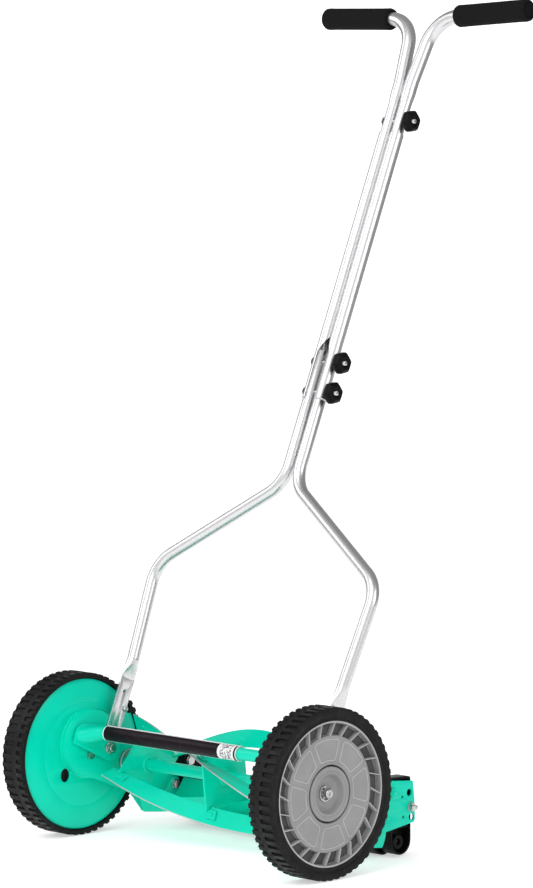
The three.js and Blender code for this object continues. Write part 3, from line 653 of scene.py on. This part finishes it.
def axle_clip(bm):
    """An E-clip: an open ring with three inner prongs."""
    outer = [polar(10.3, radians(a)) for a in range(-62, 243, 8)]
    inner = []
    for a in range(242, -63, -4):
        prong = any(abs((a - at + 180) % 360 - 180) < 12 for at in (-50, 90, 230))
        inner.append(polar(6.2 if prong else 8.4, radians(a)))
    tilt = Matrix.Rotation(radians(150), 2)
    flat(bm, [[tuple(tilt @ Vector(p)) for p in outer + inner]], 238, 239.6, 0.3)


pair(axle_bolt, "axle_bolt", AXLE, BOLT, "frame", "zinc_bolt")
pair(axle_clip, "axle_clip", AXLE, BOLT, "frame", "zinc_bolt")

# ---- gear covers and side plates


def gear_cover(bm):
    """A dished guard with a rolled edge, and a bossed cup that stands in from it."""
    boss = (BOSS[0], BOSS[1] - WHEEL_R)
    turn(bm, [
        (68.0, 210.4), (68.8, 210.03), (70.0, 210.02), (74.0, 210.1), (78.0, 210.4), (82.0, 210.95),
        (86.0, 211.65), (92.0, 212.87), (98.6, 214.2), (99.7, 214.9), (99.8, 215.5), (99.2, 215.9),
        (98.0, 215.8), (86.0, 213.4), (82.0, 212.7), (78.0, 212.2), (74.0, 211.9), (70.0, 211.78),
        (68.8, 211.77), (68.0, 211.4),
    ], sides=128)
    access = [(-33 + 7.6 * y, -25 + 9.2 * z) for y, z in circle(1)]
    flat(bm, [circle(69, count=96), circle(44.5, boss, 72), access], 210, 211.8, 0.25)
    turn(bm, [
        (40.2, 200.6), (40.8, 200.34), (42.6, 200.4), (44.4, 201.0), (45.3, 202.2), (45.5, 203.6),
        (45.5, 207.6), (45.6, 209.0), (46.0, 209.8), (46.4, 210.0), (46.4, 211.0), (44.5, 211.4),
        (43.7, 210.0), (43.7, 203.6), (43.0, 202.4), (40.8, 202.08), (40.2, 201.8),
    ], boss, 96)
    flat(bm, [circle(41, boss, 72), circle(AXLE_HOLE), circle(PIVOT_HOLE, PIVOT)], 200.3, 202.1, 0.25)


def trace(start, *steps):
    """An outline of straight steps (point,) and curved steps (control, point)."""
    points = [start]
    for step in steps:
        if len(step) == 1:
            points.append(step[0])
            continue
        a, c, b = Vector(points[-1]), Vector(step[0]), Vector(step[1])
        points += [tuple(a * (1 - t) ** 2 + c * 2 * t * (1 - t) + b * t * t)
                   for t in (k / 6 for k in range(1, 7))]
    return points


def side_plate(bm):
    """The pressed steel plate that holds the reel, cutter bar and roller bracket at one side."""
    y, z, r = BOSS
    first, last = 27.7, 235
    boss = [polar(r, radians(first + (last - first) * i / 40), (y, z)) for i in range(41)]
    outline = boss + trace(
        (24, 70), ((72, 49),), ((94, 22.5),), ((143, 17),), ((149, 26), (150, 36)),
        ((200, 43),), ((204, 44), (204, 48)), ((203, 73),), ((200, 97),), ((160, 101),), ((120, 115),),
        ((80, 128),))
    holes = [circle(3.8, (0, WHEEL_R)), circle(PIVOT_HOLE, PIVOT_GROUND), circle(13.8, REEL_GROUND)]
    holes += [circle(BOLT_HOLE, at, 20) for at in (HEIGHT_BOLT, BRACKET_BOLT, CUTTER_BOLT)]
    holes += [circle(r, at, 20) for r, at in SPARE_HOLES]
    flat(bm, [outline, *holes], PLATE_IN, PLATE_OUT, 0.6)
    washer(bm, 13.9, 17.2, PLATE_OUT - 0.2, PLATE_OUT + 0.9, REEL_GROUND)


pair(gear_cover, "gear_cover", AXLE, TEAL, "frame", "teal_paint")
pair(side_plate, "side_plate", GROUND, TEAL, "frame", "teal_paint")

# ---- crossbar and its band


def crossbar(bm):
    """A tube pressed flat at both ends into bolted gussets."""
    y, z, r = CROSSBAR
    rings = []
    for sign in (-1, 1):
        half = []
        for k in range(15):
            t = k / 14
            s = ease(t)
            x = sign * (PRESSED_FROM + (GUSSET_IN + 0.6 - PRESSED_FROM) * t)
            section = squashed(r + (22.4 - r) * s, r + (11.4 - r) * s, 0.4 * s, 48)
            half.append([(x, y - 8 * s + a, z - 4 * s + b) for a, b in section])
        rings = half[::-1] + rings if sign < 0 else rings + half
    loft(bm, rings)
    gusset = trace(
        (-34, 128), ((-31, 140),), ((-27, 153), (-12, 152)), ((20, 146),), ((42, 138), (47, 118)),
        ((49, 107), (40, 101)), ((33, 96), (25, 99)))
    for ends in both_sides(GUSSET_IN, GUSSET_OUT):
        flat(bm, [gusset, circle(PIVOT_HOLE, PIVOT_GROUND)], *ends, 0.7)


def crossbar_band(bm):
    """The glossy sleeve round the crossbar, in the film that `band_film` colours along it."""
    y, z, _ = CROSSBAR
    start, end, r = BAND
    low = r - 0.25
    turn(bm, [(8.3, start), (r - 0.3, start), (r, start + 0.3), (r, PALE_FROM), (low, PALE_FROM + 0.3),
              (low, end - 4.4), (r, end - 4.2), (r, end - 2.2), (low, end - 2.0), (low, end - 0.3),
              (r - 0.5, end), (8.3, end)], (y, z), 64)


one(crossbar, "crossbar", GROUND, TEAL, "frame", "teal_paint")
one(crossbar_band, "crossbar_band", GROUND, FILM, "frame", "band_plastic")

# ---- cutter bar and bedknife

EDGE = polar(REEL_R + 0.6, KNIFE_BEARING, REEL_GROUND)    # the bedknife's, just clear of the reel


def cutter_bar(bm):
    """A folded bar: a shelf under the bedknife, an apron behind it, and a bolted tab at each end."""
    y, top = EDGE[0], EDGE[1] - KNIFE_T - GAP
    half = PLATE_IN - GAP
    flat(bm, [[(y + 4, top - 3), (y + 26, top - 3), (y + 26, top), (y + 4, top)]], -half, half, 0.4)
    apron = [(y + 24.5, top - 3), (y + 26, top - 3), (152, 63), (149.5, 64.5), (y + 24.5, top - 0.5)]
    flat(bm, [rounded(apron, [0.4, 1.2, 1, 1, 1])], -APRON_HALF, APRON_HALF, 0.4)
    tab = rounded([(105, 24), (140, 21), (158, 44), (158, 59), (155, 62), (146, 62), (130, 44), (105, 34)],
                  [2, 4, 3, 1, 1, 3, 8, 3])
    for ends in both_sides(half - 3, half):
        flat(bm, [tab, circle(BOLT_HOLE, CUTTER_BOLT, 20)], *ends, 0.5)


def bedknife(bm):
    """A painted strip with a ground edge, held down by countersunk screws with dimpled heads."""
    y, z = EDGE
    half = BLADE_HALF + 8
    flat(bm, [[(y + 1.8, z), (y + 1.8, z - KNIFE_T), (y + 24, z - KNIFE_T), (y + 24, z)]], -half, half, 0.12)
    ground = [(y, z), (y + 0.8, z - KNIFE_T), (y + 2.0, z - KNIFE_T + 0.05), (y + 2.0, z - 0.05)]
    painted(bm, 1, lambda: flat(bm, [ground], -half, half, 0.06))
    upright = Matrix.Rotation(radians(-90), 4, "Y")
    head = [(0, -0.4), (3.9, -0.4), (3.6, 0.5), (2.6, 1.3), (1.2, 1.6), (1.0, 0.9), (0, 0.9)]
    for i in range(SCREWS):
        x = half * (2 * i / (SCREWS - 1) - 1) * 0.9
        standing = Matrix.Translation((x, y + 16, z)) @ upright
        painted(bm, 1, lambda: turn(bm, head, sides=24, matrix=standing))


def cutter_bolt(bm):
    """A bolt from the inside whose end, outside the plate, is painted over."""
    hexagon(bm, 10.6, PLATE_IN - 7.6, PLATE_IN - 3.9, CUTTER_BOLT, 0.4)
    washer(bm, 3.3, 6.4, PLATE_IN - 3.9, PLATE_IN - 3.4, CUTTER_BOLT)
    painted(bm, 1, lambda: thread(bm, 3, PLATE_IN - 5, PLATE_OUT + 2, CUTTER_BOLT))


one(cutter_bar, "cutter_bar", GROUND, TEAL, "frame", "teal_paint")
one(bedknife, "bedknife", GROUND, [TEAL, STEEL], "frame", "bare_steel")
pair(cutter_bolt, "cutter_bolt", GROUND, [BOLT, TEAL], "frame", "zinc_bolt")

# ---- roller and its brackets


def bracket(bm):
    """A moulded bracket: a rimmed web with bosses round its bolts and ribs between them."""
    outer_end, inner_end = ([polar(r, -pi * i / 16, (181, 21)) for i in range(17)] for r in (18.5, 15.4))
    outline = trace((163, 104), ((195, 103),), ((199, 103), (199, 99))) + outer_end + [
        (160, 60), (151, 78), (151, 94), (163, 98)]
    pocket = trace((166, 100.8), ((192, 99.9),), ((196, 99.8), (196, 96))) + inner_end + [
        (163, 61), (154.2, 79), (154.2, 91.6), (166, 95.8)]
    face = PLATE_IN - GAP
    flat(bm, [outline, pocket], BRACKET_IN, face, 0.9)
    holes = [circle(4.3, ROLLER_AT), circle(BOLT_HOLE, HEIGHT_BOLT, 20), circle(BOLT_HOLE, BRACKET_BOLT, 20)]
    flat(bm, [pocket, *holes], BRACKET_IN + 6, BRACKET_IN + 10, 0.3)
    for at, bore, r in ((ROLLER_AT, 4.3, 9), (HEIGHT_BOLT, BOLT_HOLE, 6), (BRACKET_BOLT, BOLT_HOLE, 7)):
        washer(bm, bore, r, BRACKET_IN + 0.2, face, at)
    for z in (38, 52, 92):
        flat(bm, [[(164, z - 0.9), (196.5, z - 0.9), (196.5, z + 0.9), (164, z + 0.9)]],
             BRACKET_IN + 1, face - 1.5, 0.3)


def roller(bm):
    """A hollow-ended plastic roller with mould seams along it."""
    half = ROLLER_HALF
    profile = [(4.3, -half + 6)]
    for x0, x1 in ((-half, -86), (-86, 0), (0, 86), (86, half)):
        profile += [(19.4, x0 + 0.01), (20, x0 + 0.6), (20, x1 - 0.6), (19.4, x1 - 0.01)]
    profile[1:1] = [(8, -half + 6), (8, -half + 0.6), (9, -half), (10, -half + 0.6), (10.4, -half + 5),
                    (17, -half + 5), (17.6, -half)]
    profile += [(17.6, half), (17, half - 5), (10.4, half - 5), (10, half - 0.6), (9, half), (8, half - 0.6),
                (8, half - 6), (4.3, half - 6)]
    turn(bm, profile, sides=64)
    for ends in both_sides(half - 5.2, half - 0.8):
        for i in range(8):
            turned = Matrix.Rotation(tau * i / 8, 4, "X")
            flat(bm, [[(9.5, -0.7), (17.4, -0.7), (17.4, 0.7), (9.5, 0.7)]], *ends, 0.2, turned)


def roller_rod(bm):
    """The rod the roller turns on, with a ring flush with its surface beside each bracket."""
    rod(bm, 4, -192, 192, ROLLER_AT, 32, 0.9)
    for ends in both_sides(172, 173.5):
        washer(bm, 3.9, 4.0, *ends, ROLLER_AT)


def through_bolt(at, end, nut_finish):
    """A bolt from the inside, with its washer, nut and thread showing on the side plate."""
    outside = PLATE_OUT + GAP

    def nut(bm):
        thread(bm, 3, outside, end, at)
        washer(bm, 3, 6.2, outside, outside + 0.8, at)
        hexagon(bm, 10.2, outside + 0.8, outside + 4.5, at, 0.5)

    def build(bm):
        hexagon(bm, 10.6, BRACKET_IN - 3.8, BRACKET_IN - 0.8, at, 0.3)
        washer(bm, 3, 6.2, BRACKET_IN - 0.8, BRACKET_IN - GAP, at)
        rod(bm, 3, BRACKET_IN - 1, outside, at, 20)
        painted(bm, nut_finish, lambda: nut(bm))
    return build


pair(bracket, "roller_bracket", GROUND, BLACK, "frame", "black_plastic")
for bolt, bolt_build in (("height_bolt", through_bolt(HEIGHT_BOLT, 210, 0)),
                         ("bracket_bolt", through_bolt(BRACKET_BOLT, 206.5, 1))):
    pair(bolt_build, bolt, GROUND, [BOLT, TEAL], "frame", "zinc_bolt")
one(roller, "roller", ROLLER, BLACK, "roller", "black_plastic")
one(roller_rod, "roller_rod", GROUND, STEEL, "frame", "bare_steel")

# ---- reel


def on_blade(index, x, out, behind):
    """A point by a blade: `out` in from its cutting edge along the strip, `behind` its middle."""
    radial = REEL_R - out * cos(BLADE_LEAN) + behind * sin(BLADE_LEAN)
    around = -out * sin(BLADE_LEAN) - behind * cos(BLADE_LEAN)
    a = BLADE_PHASE + tau * index / BLADES + BLADE_TWIST * x
    return (x, radial * cos(a) - around * sin(a), radial * sin(a) + around * cos(a))


def helix(bm, index, section, x0, x1, pieces):
    """A section of (out, behind) points swept along a blade's helix."""
    loft(bm, [[on_blade(index, x0 + (x1 - x0) * k / pieces, out, behind) for out, behind in section]
              for k in range(pieces + 1)])


def blade(index):
    """A helical strip with a ground cutting edge, riveted to each spider."""
    half = BLADE_T / 2
    pieces = 120
    section = [(0, -half + 0.1), (0, 0.2), (0.8, half - 0.05), (1.1, half), (BLADE_W - 0.4, half),
               (BLADE_W, half - 0.4), (BLADE_W, -half + 0.4), (BLADE_W - 0.4, -half), (0.1, -half)]

    def build(bm):
        helix(bm, index, section, -BLADE_HALF, BLADE_HALF, pieces)
        count = len(section)
        bm.faces.ensure_lookup_table()
        for k in range(pieces):
            bm.faces[k * count].material_index = 1
            bm.faces[k * count + 1].material_index = 1
        for x in SPIDERS.values():
            tab_x = x + (-6 if x > 0 else 6)
            rivet(bm, index, tab_x, half, -1)
    return build


def rivet(bm, index, x, surface, sense):
    """A domed rivet head on one face of a blade."""
    centre = Vector(on_blade(index, x, 14, sense * surface))
    axis = (Vector(on_blade(index, x, 14, sense * (surface + 1))) - centre).normalized()
    turned = Matrix.Translation(centre) @ axis.to_track_quat("X", "Z").to_matrix().to_4x4()
    turn(bm, [(0, -0.3), (3.1, -0.3), (3.0, 0.5), (2.2, 1.3), (1.1, 1.7), (0, 1.8)], sides=20, matrix=turned)


def spider(x):
    """A square plate, slotted for the blades, with a tab folded and riveted along each blade."""
    lag = BLADE_PHASE - SPIDER_LAG + BLADE_TWIST * x
    tips = [Vector(polar(SPIDER_HALF * sqrt(2), lag + i * pi / 2)) for i in range(4)]
    outline = []
    for i in range(4):
        tip, following = tips[i], tips[(i + 1) % 4]
        outline.append(tuple(tip.lerp(following, 0.012)))
        for behind, deep in ((1.7, False), (1.7, True), (-1.7, True), (-1.7, False)):
            if deep:
                outline.append(on_blade(i, x, BLADE_W + 0.7, behind)[1:])
                continue
            a, b = (Vector(on_blade(i, x, out, behind)[1:]) for out in (0, BLADE_W))
            edge, run = following - tip, b - a
            share = (a - tip).cross(run) / edge.cross(run)
            outline.append(tuple(tip + edge * share))
        outline.append(tuple(tip.lerp(following, 0.988)))
    half = BLADE_T / 2 + 0.7

    def build(bm):
        flat(bm, [outline, circle(8.3, count=40)], x - 1.5, x + 1.5, 0.35)
        turn(bm, [(8.3, x - 3.2), (9.2, x - 3.2), (11.5, x - 1.4), (11.5, x + 1.4), (9.2, x + 3.2),
                  (8.3, x + 3.2)])
        inward = -1 if x > 0 else 1
        tab = [(8, half), (8.4, half + 2), (19.6, half + 2), (20, half)]
        ends = sorted((x + inward * -0.5, x + inward * 12.5))
        for i in range(4):
            helix(bm, i, tab, *ends, 6)
            rivet(bm, i, x + inward * 6, half + 2, 1)
    return build


def reel_shaft(bm):
    """The reel's tube, its turned journals and the weld that joins them."""
    end = 231.4
    turn(bm, [(0, -end), (5.4, -end), (6, -end + 0.6), (6, -177), (7.2, -176), (8, -175), (8, 175),
              (7.2, 176), (6, 177), (6, end - 0.6), (5.4, end), (0, end)])


def reel_bearing(bm):
    """A flanged bearing cup with its race and dust lip."""
    x = PLATE_IN - 3.3
    turn(bm, [(6.3, x + 0.8), (9, x + 0.8), (9.4, x), (16.4, x), (17, x + 0.6), (17, x + 3), (13.5, x + 3),
              (13.5, 205.4), (12.9, 206), (10.4, 206), (10, 205.2), (8, 205.2), (7.6, 206), (6.3, 206)])


for number in range(BLADES):
    one(blade(number), f"blade_{number + 1}", REEL, [TEAL, STEEL], "reel", "teal_paint")
for place_name, place_x in SPIDERS.items():
    one(spider(place_x), f"spider_{place_name}", REEL, TEAL, "reel", "teal_paint")
one(reel_shaft, "reel_shaft", REEL, TEAL, "reel", "teal_paint")
pair(reel_bearing, "reel_bearing", REEL, STEEL, "frame", "bare_steel")

# ---- handle tubes


def lower_tube(bm):
    """A bent tube, pressed flat at its foot and holed there for the pivot bolt."""
    route = [(FOOT_X, FOOT_TOP), ELBOW, (PAIR_X, NECK_T), (PAIR_X, LOWER_TOP - 0.6)]
    path = corners(route, [48, 48], 16)
    pipe(bm, path + [(PAIR_X, LOWER_TOP)], lambda p: LOWER_R - (0.4 if p[1] > LOWER_TOP - 0.3 else 0))
    pressed = []
    for k in range(15):
        t = k / 14
        s = ease(t)
        wide, thick = LOWER_R + (FOOT_HALF - LOWER_R) * s, LOWER_R + (FOOT_T / 2 - LOWER_R) * s
        section = squashed(thick, wide, 4 * s, TUBE_SIDES)
        pressed.append([(FOOT_X + a, FOOT_TOP - 27 * t, b) for a, b in section])
    loft(bm, pressed)
    end = [polar(FOOT_HALF, pi / 2 + pi * i / 16) for i in range(17)]
    outline = [(y, z) for y, z in [(97, -FOOT_HALF), (97, FOOT_HALF)] + end]
    flat(bm, [outline, circle(PIVOT_HOLE), circle(2.3, BUMPER, 16), circle(2.5, (78, 0), 20)],
         FOOT_X - FOOT_T / 2, FOOT_X + FOOT_T / 2, 0.5)


def mid_tube(bm):
    """The middle tube's outer skin, opened below the scoop to cup the lower tube."""
    first, last = MID_SPAN
    steps = 36
    open_from = acos(0.5 / MID_R)
    angles = [open_from - 2 * open_from * i / steps for i in range(steps + 1)]
    spare = tau - 2 * open_from
    angles += [-open_from - spare * i / steps for i in range(1, steps + 1)]
    rows = [first + (FINE_TO - first) * k / 60 for k in range(61)] + [last - 1, last - 0.4, last]
    columns = []
    for i, a in enumerate(angles):
        x, z = polar(MID_R, a)
        start = first if i <= steps else CHANNEL_TOP - 8 + (0.5 - x) * 24 / (PAIR_X + 0.5)
        columns.append([bm.verts.new((PAIR_X + x, max(t, start), z)) for t in rows])
    for a, b in zip(columns, columns[1:]):
        for k in range(len(rows) - 1):
            bm.faces.new((a[k], b[k], b[k + 1], a[k + 1]))


def grip_line(x):
    """How far up the handle the grips' centre line lies."""
    return TEE[1] + (x - TEE[0]) * tan(GRIP_RISE)


def upper_tube(bm):
    """The swan-necked top tube, drawn down to fit inside the middle tube."""
    start, until, neck_r = UPPER_NECK
    end = GRIP[1] - 2.5
    neck = [(PAIR_X, start + (until + 20 - start) * k / 48) for k in range(49)]
    route = [neck[-1], (PAIR_X, FORK_T + 8), TEE, (end, grip_line(end))]
    path = neck[:-1] + corners(route, [120, TEE_R], 16)

    def radius(point):
        t = max(0, min(1, (point[1] - until + 5) / 19.5))
        rim = 0.5 if point[1] < start + 0.5 else 0
        return neck_r + (UPPER_R - neck_r) * ease(t) - rim
    pipe(bm, path, radius)


def foot_bumper(bm):
    """A rubber stub behind the foot's edge, on a half-round steel tongue plugged through the foot."""
    inside = FOOT_X - FOOT_T / 2 - GAP
    centre = FOOT_X + FOOT_T / 2 - 3.2
    upright = Matrix.Translation((centre, BUMPER[0], 0)) @ Matrix.Rotation(radians(-90), 4, "Y")
    turn(bm, [(0, -20), (1.8, -19.8), (2.8, -19.1), (3.2, -18), (3.2, -16.4), (2.8, -16.1), (2.8, -15.4),
              (3.2, -15.1), (3.2, -FOOT_HALF - 0.3), (0, -FOOT_HALF - 0.3)], sides=28, matrix=upright)
    tongue = []
    for z, r in ((-FOOT_HALF - 0.5, 3.2), (-7.2, 3.2), (-6.3, 2.8), (-6.0, 2.0)):
        reach = min(r, sqrt(max(r * r - (inside - centre) ** 2, 0.01)))
        arc = [pi + asin(reach / r) * (1 - k / 8) for k in range(17)]
        tongue.append([(centre + r * cos(a), BUMPER[0] + r * sin(a), z) for a in arc])
    painted(bm, 1, lambda: loft(bm, tongue))
    painted(bm, 1, lambda: rod(bm, 2, inside - 1, inside + 2.9, BUMPER, 20, 0.3))


def pivot_bolt(bm):
    """The handle's pivot: head outside, washer, nut and thread inside."""
    outside = PLATE_OUT + 2.7
    hexagon(bm, 15.6, outside, PLATE_OUT + 6.5)
    rod(bm, 5, 186, outside)
    thread(bm, 5, 187, 183.1, pitch=1.2)
    washer(bm, 5, 8, 188.8, 190.1)
    hexagon(bm, 13, 184.4, 188.8, phase=0.35)


pair(lower_tube, "lower_tube", HANDLE, ZINC, "handle", "zinc_tube")
for sleeve in pair(mid_tube, "mid_tube", HANDLE, ZINC, "handle", "zinc_tube", skin=True):
    wall = sleeve.modifiers.new("wall", "SOLIDIFY")
    wall.thickness = (MID_R - MID_BORE) / 1000
    wall.offset = -1
    wall.use_even_offset = True
pair(upper_tube, "upper_tube", HANDLE, ZINC, "handle", "zinc_tube")
pair(foot_bumper, "foot_bumper", HANDLE, [BLACK, ZINC], "handle", "black_plastic")
pair(pivot_bolt, "pivot_bolt", HANDLE_PIVOT, BOLT, "frame", "zinc_bolt")


def grip(bm):
    """A foam sleeve with a softly swollen end and a closed, rounded cap."""
    start, end, r = GRIP
    length = end - start
    along = Matrix.Translation((start, grip_line(start), 0)) @ Matrix.Rotation(GRIP_RISE, 4, "Z")
    turn(bm, [(10, 0.6), (11.5, 0), (13.2, 0.3), (14.4, 1.4), (r, 3.4), (r - 0.25, 14),
              (r - 0.3, length / 2), (r - 0.25, length - 16), (r, length - 6), (14.6, length - 2.8),
              (13.0, length - 0.8), (11.0, length - 0.2), (10.2, length - 1.2), (10, length - 2)],
         sides=64, matrix=along)
    painted(bm, 1, lambda: turn(bm, [
        (0, length - 2), (9.9, length - 2), (9.9, length - 0.6), (9.4, length), (8.6, length),
        (8.0, length - 0.7), (3.0, length - 0.7), (2.2, length - 1.2), (0, length - 1.2),
    ], sides=64, matrix=along))


for sleeve in pair(grip, "grip", HANDLE, [FOAM, BLACK], "handle", "grip_foam"):
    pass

# ---- clamp bolts and knobs


def clamp_bolt(t, outside):
    """A domed carriage bolt through both tubes, threaded where its knob screws on."""
    def build(bm):
        turn(bm, [(0, -outside - 3.4), (2.2, -outside - 3.2), (4.2, -outside - 2.6), (5.8, -outside - 1.4),
                  (6.5, -outside - 0.4), (6.5, -outside), (3, -outside), (3, outside + 2), (0, outside + 2)],
             (t, 0), 32)
        thread(bm, 3, outside + 1.5, outside + KNOB_LENGTH + 0.4, (t, 0), 0.9)
    return build


def knob(t, outside):
    """A six-lobed clamping knob on a round collar, dished round the bolt's end."""
    def build(bm):
        rings = []
        profile = (    # x, radius, how strongly the lobes show
            (0, 7.4, 0), (0.4, 8.2, 0), (2.0, 8.4, 0), (2.8, 9.4, 0.3), (4.4, 12.9, 0.8), (6.2, 14.9, 1),
            (8.0, 15.5, 1), (12.3, 15.5, 1), (14.4, 14.6, 1), (16.4, 12.6, 0.9), (17.6, 10.8, 0.7),
            (18.0, 9.6, 0.4), (17.9, 6.4, 0), (17.2, 5.4, 0), (15.5, 4.9, 0), (15.2, 3.8, 0), (0.3, 3.8, 0),
            (0, 4.4, 0))
        for x, r, six in profile:
            ring = []
            for i in range(72):
                a = tau * i / 72
                side = a % (pi / 3) - pi / 6
                flat_side = cos(pi / 6) / cos(side)
                lobed = 0.12 + 0.88 * flat_side if flat_side < 0.985 else 0.985
                y, z = polar(r * (1 + (lobed - 1) * six), a, (t, 0))
                ring.append((outside + x, y, z))
            rings.append(ring)
        loft(bm, rings, closed=True)
    return build


for clamp, up in CLAMPS.items():
    reach = PAIR_X + GAP + (UPPER_NECK[2] if clamp == "top" else MID_R)
    one(clamp_bolt(up, reach), f"clamp_bolt_{clamp}", HANDLE, BOLT, "handle", "zinc_bolt")
    one(knob(up, reach), f"knob_{clamp}", HANDLE, BLACK, f"knob_{clamp}", "black_plastic")

# ---- gears kept from the frame

for node in ("pinion_left", "pinion_right", "pawl_left", "pawl_right"):
    kept = frame["nodes"][node]
    kept.data.materials.clear()
    kept.data.materials.append(STEEL)
    softened = kept.modifiers.new("edges", "BEVEL")
    softened.width = 0.0002
    softened.limit_method = "ANGLE"

# ---- studio

CAMERA_AZIMUTH = radians(45.458)
CAMERA_RISE = radians(3.968)
CAMERA_AT = Vector((3.4287, AXLE.translation.y - 3.2416, 0.8572))
CAMERA_LENS = 150.21
ROOM_LIGHT = 0.9
ROOM_BEARING = CAMERA_AZIMUTH - radians(25)    # where the room is brightest
PAPER_NEAR, PAPER_BEND, PAPER_TOP, PAPER_HALF = -12, 11, 4, 3    # metres along, up and across
BEND_R = 1
LIGHTS = (    # name, place, aim, size in metres, watts
    ("key", (0.6, -3.2, 3.4), (0, 0, 0.4), 2.6, 70),
    ("side", (3.6, 0.4, 2.0), (0, 0, 0.4), 2.2, 30),
    ("left", (-3.0, -1.6, 2.2), (0, 0, 0.3), 2.0, 25),
)


def floor_material():
    """Pale matt paper with a trace of fibre."""
    material, tree, shader = node_material("studio_paper", (0.9, 0.9, 0.9), 0.9, 0.0, Emission_Strength=0.5)
    shader.inputs["Emission Color"].default_value = (1, 1, 1, 1)
    tree.links.new(ramp(tree, noise(tree, 6, 3), [(0.3, 0.88), (0.7, 0.91)]), shader.inputs["Base Color"])
    return material


def studio():
    """A paper floor that sweeps up behind the mower, soft lights and a room lit from one side."""
    bm = bmesh.new()
    path = [(PAPER_NEAR, 0), (PAPER_BEND, 0)]
    for k in range(1, 13):
        a = pi / 2 * k / 12
        path.append((PAPER_BEND + BEND_R * sin(a), BEND_R - BEND_R * cos(a)))
    path.append((PAPER_BEND + BEND_R, PAPER_TOP))
    sweep = [[bm.verts.new((x, y, z)) for x in (-PAPER_HALF, PAPER_HALF)] for y, z in path]
    for a, b in zip(sweep, sweep[1:]):
        bm.faces.new((a[0], a[1], b[1], b[0]))
    mesh = bpy.data.meshes.new("paper")
    bm.to_mesh(mesh)
    bm.free()
    mesh.shade_smooth()
    mesh.materials.append(floor_material())
    paper = bpy.data.objects.new("paper", mesh)
    paper.rotation_euler = (0, 0, CAMERA_AZIMUTH)
    paper.location = (0, 0, -0.0005)
    bpy.context.scene.collection.objects.link(paper)
    for name, at, towards, size, power in LIGHTS:
        lamp = bpy.data.lights.new(name, "AREA")
        lamp.size = size
        lamp.energy = power
        holder = bpy.data.objects.new(name, lamp)
        holder.location = at
        holder.rotation_mode = "QUATERNION"
        holder.rotation_quaternion = (Vector(towards) - Vector(at)).to_track_quat("-Z", "Y")
        bpy.context.scene.collection.objects.link(holder)
    world = bpy.data.worlds.new("studio")
    world.use_nodes = True
    tree = world.node_tree
    coords = tree.nodes.new("ShaderNodeTexCoord")
    across = tree.nodes.new("ShaderNodeVectorMath")
    across.operation = "DOT_PRODUCT"
    across.inputs[1].default_value = (sin(ROOM_BEARING), -cos(ROOM_BEARING), 0)
    tree.links.new(coords.outputs["Generated"], across.inputs[0])
    room = ramp(tree, across.outputs["Value"], [(0.0, 0.4), (0.55, 1.0)])
    tree.links.new(room, tree.nodes["Background"].inputs["Color"])
    tree.nodes["Background"].inputs["Strength"].default_value = ROOM_LIGHT
    bpy.context.scene.world = world
    bpy.context.scene.view_settings.view_transform = "Standard"


studio()
camera = bpy.data.objects.new("camera", bpy.data.cameras.new("camera"))
camera.data.lens = CAMERA_LENS
camera.data.clip_end = 60
camera.location = CAMERA_AT
camera.rotation_euler = (pi / 2 - CAMERA_RISE, 0, CAMERA_AZIMUTH)
bpy.context.scene.collection.objects.link(camera)
bpy.context.scene.camera = camera
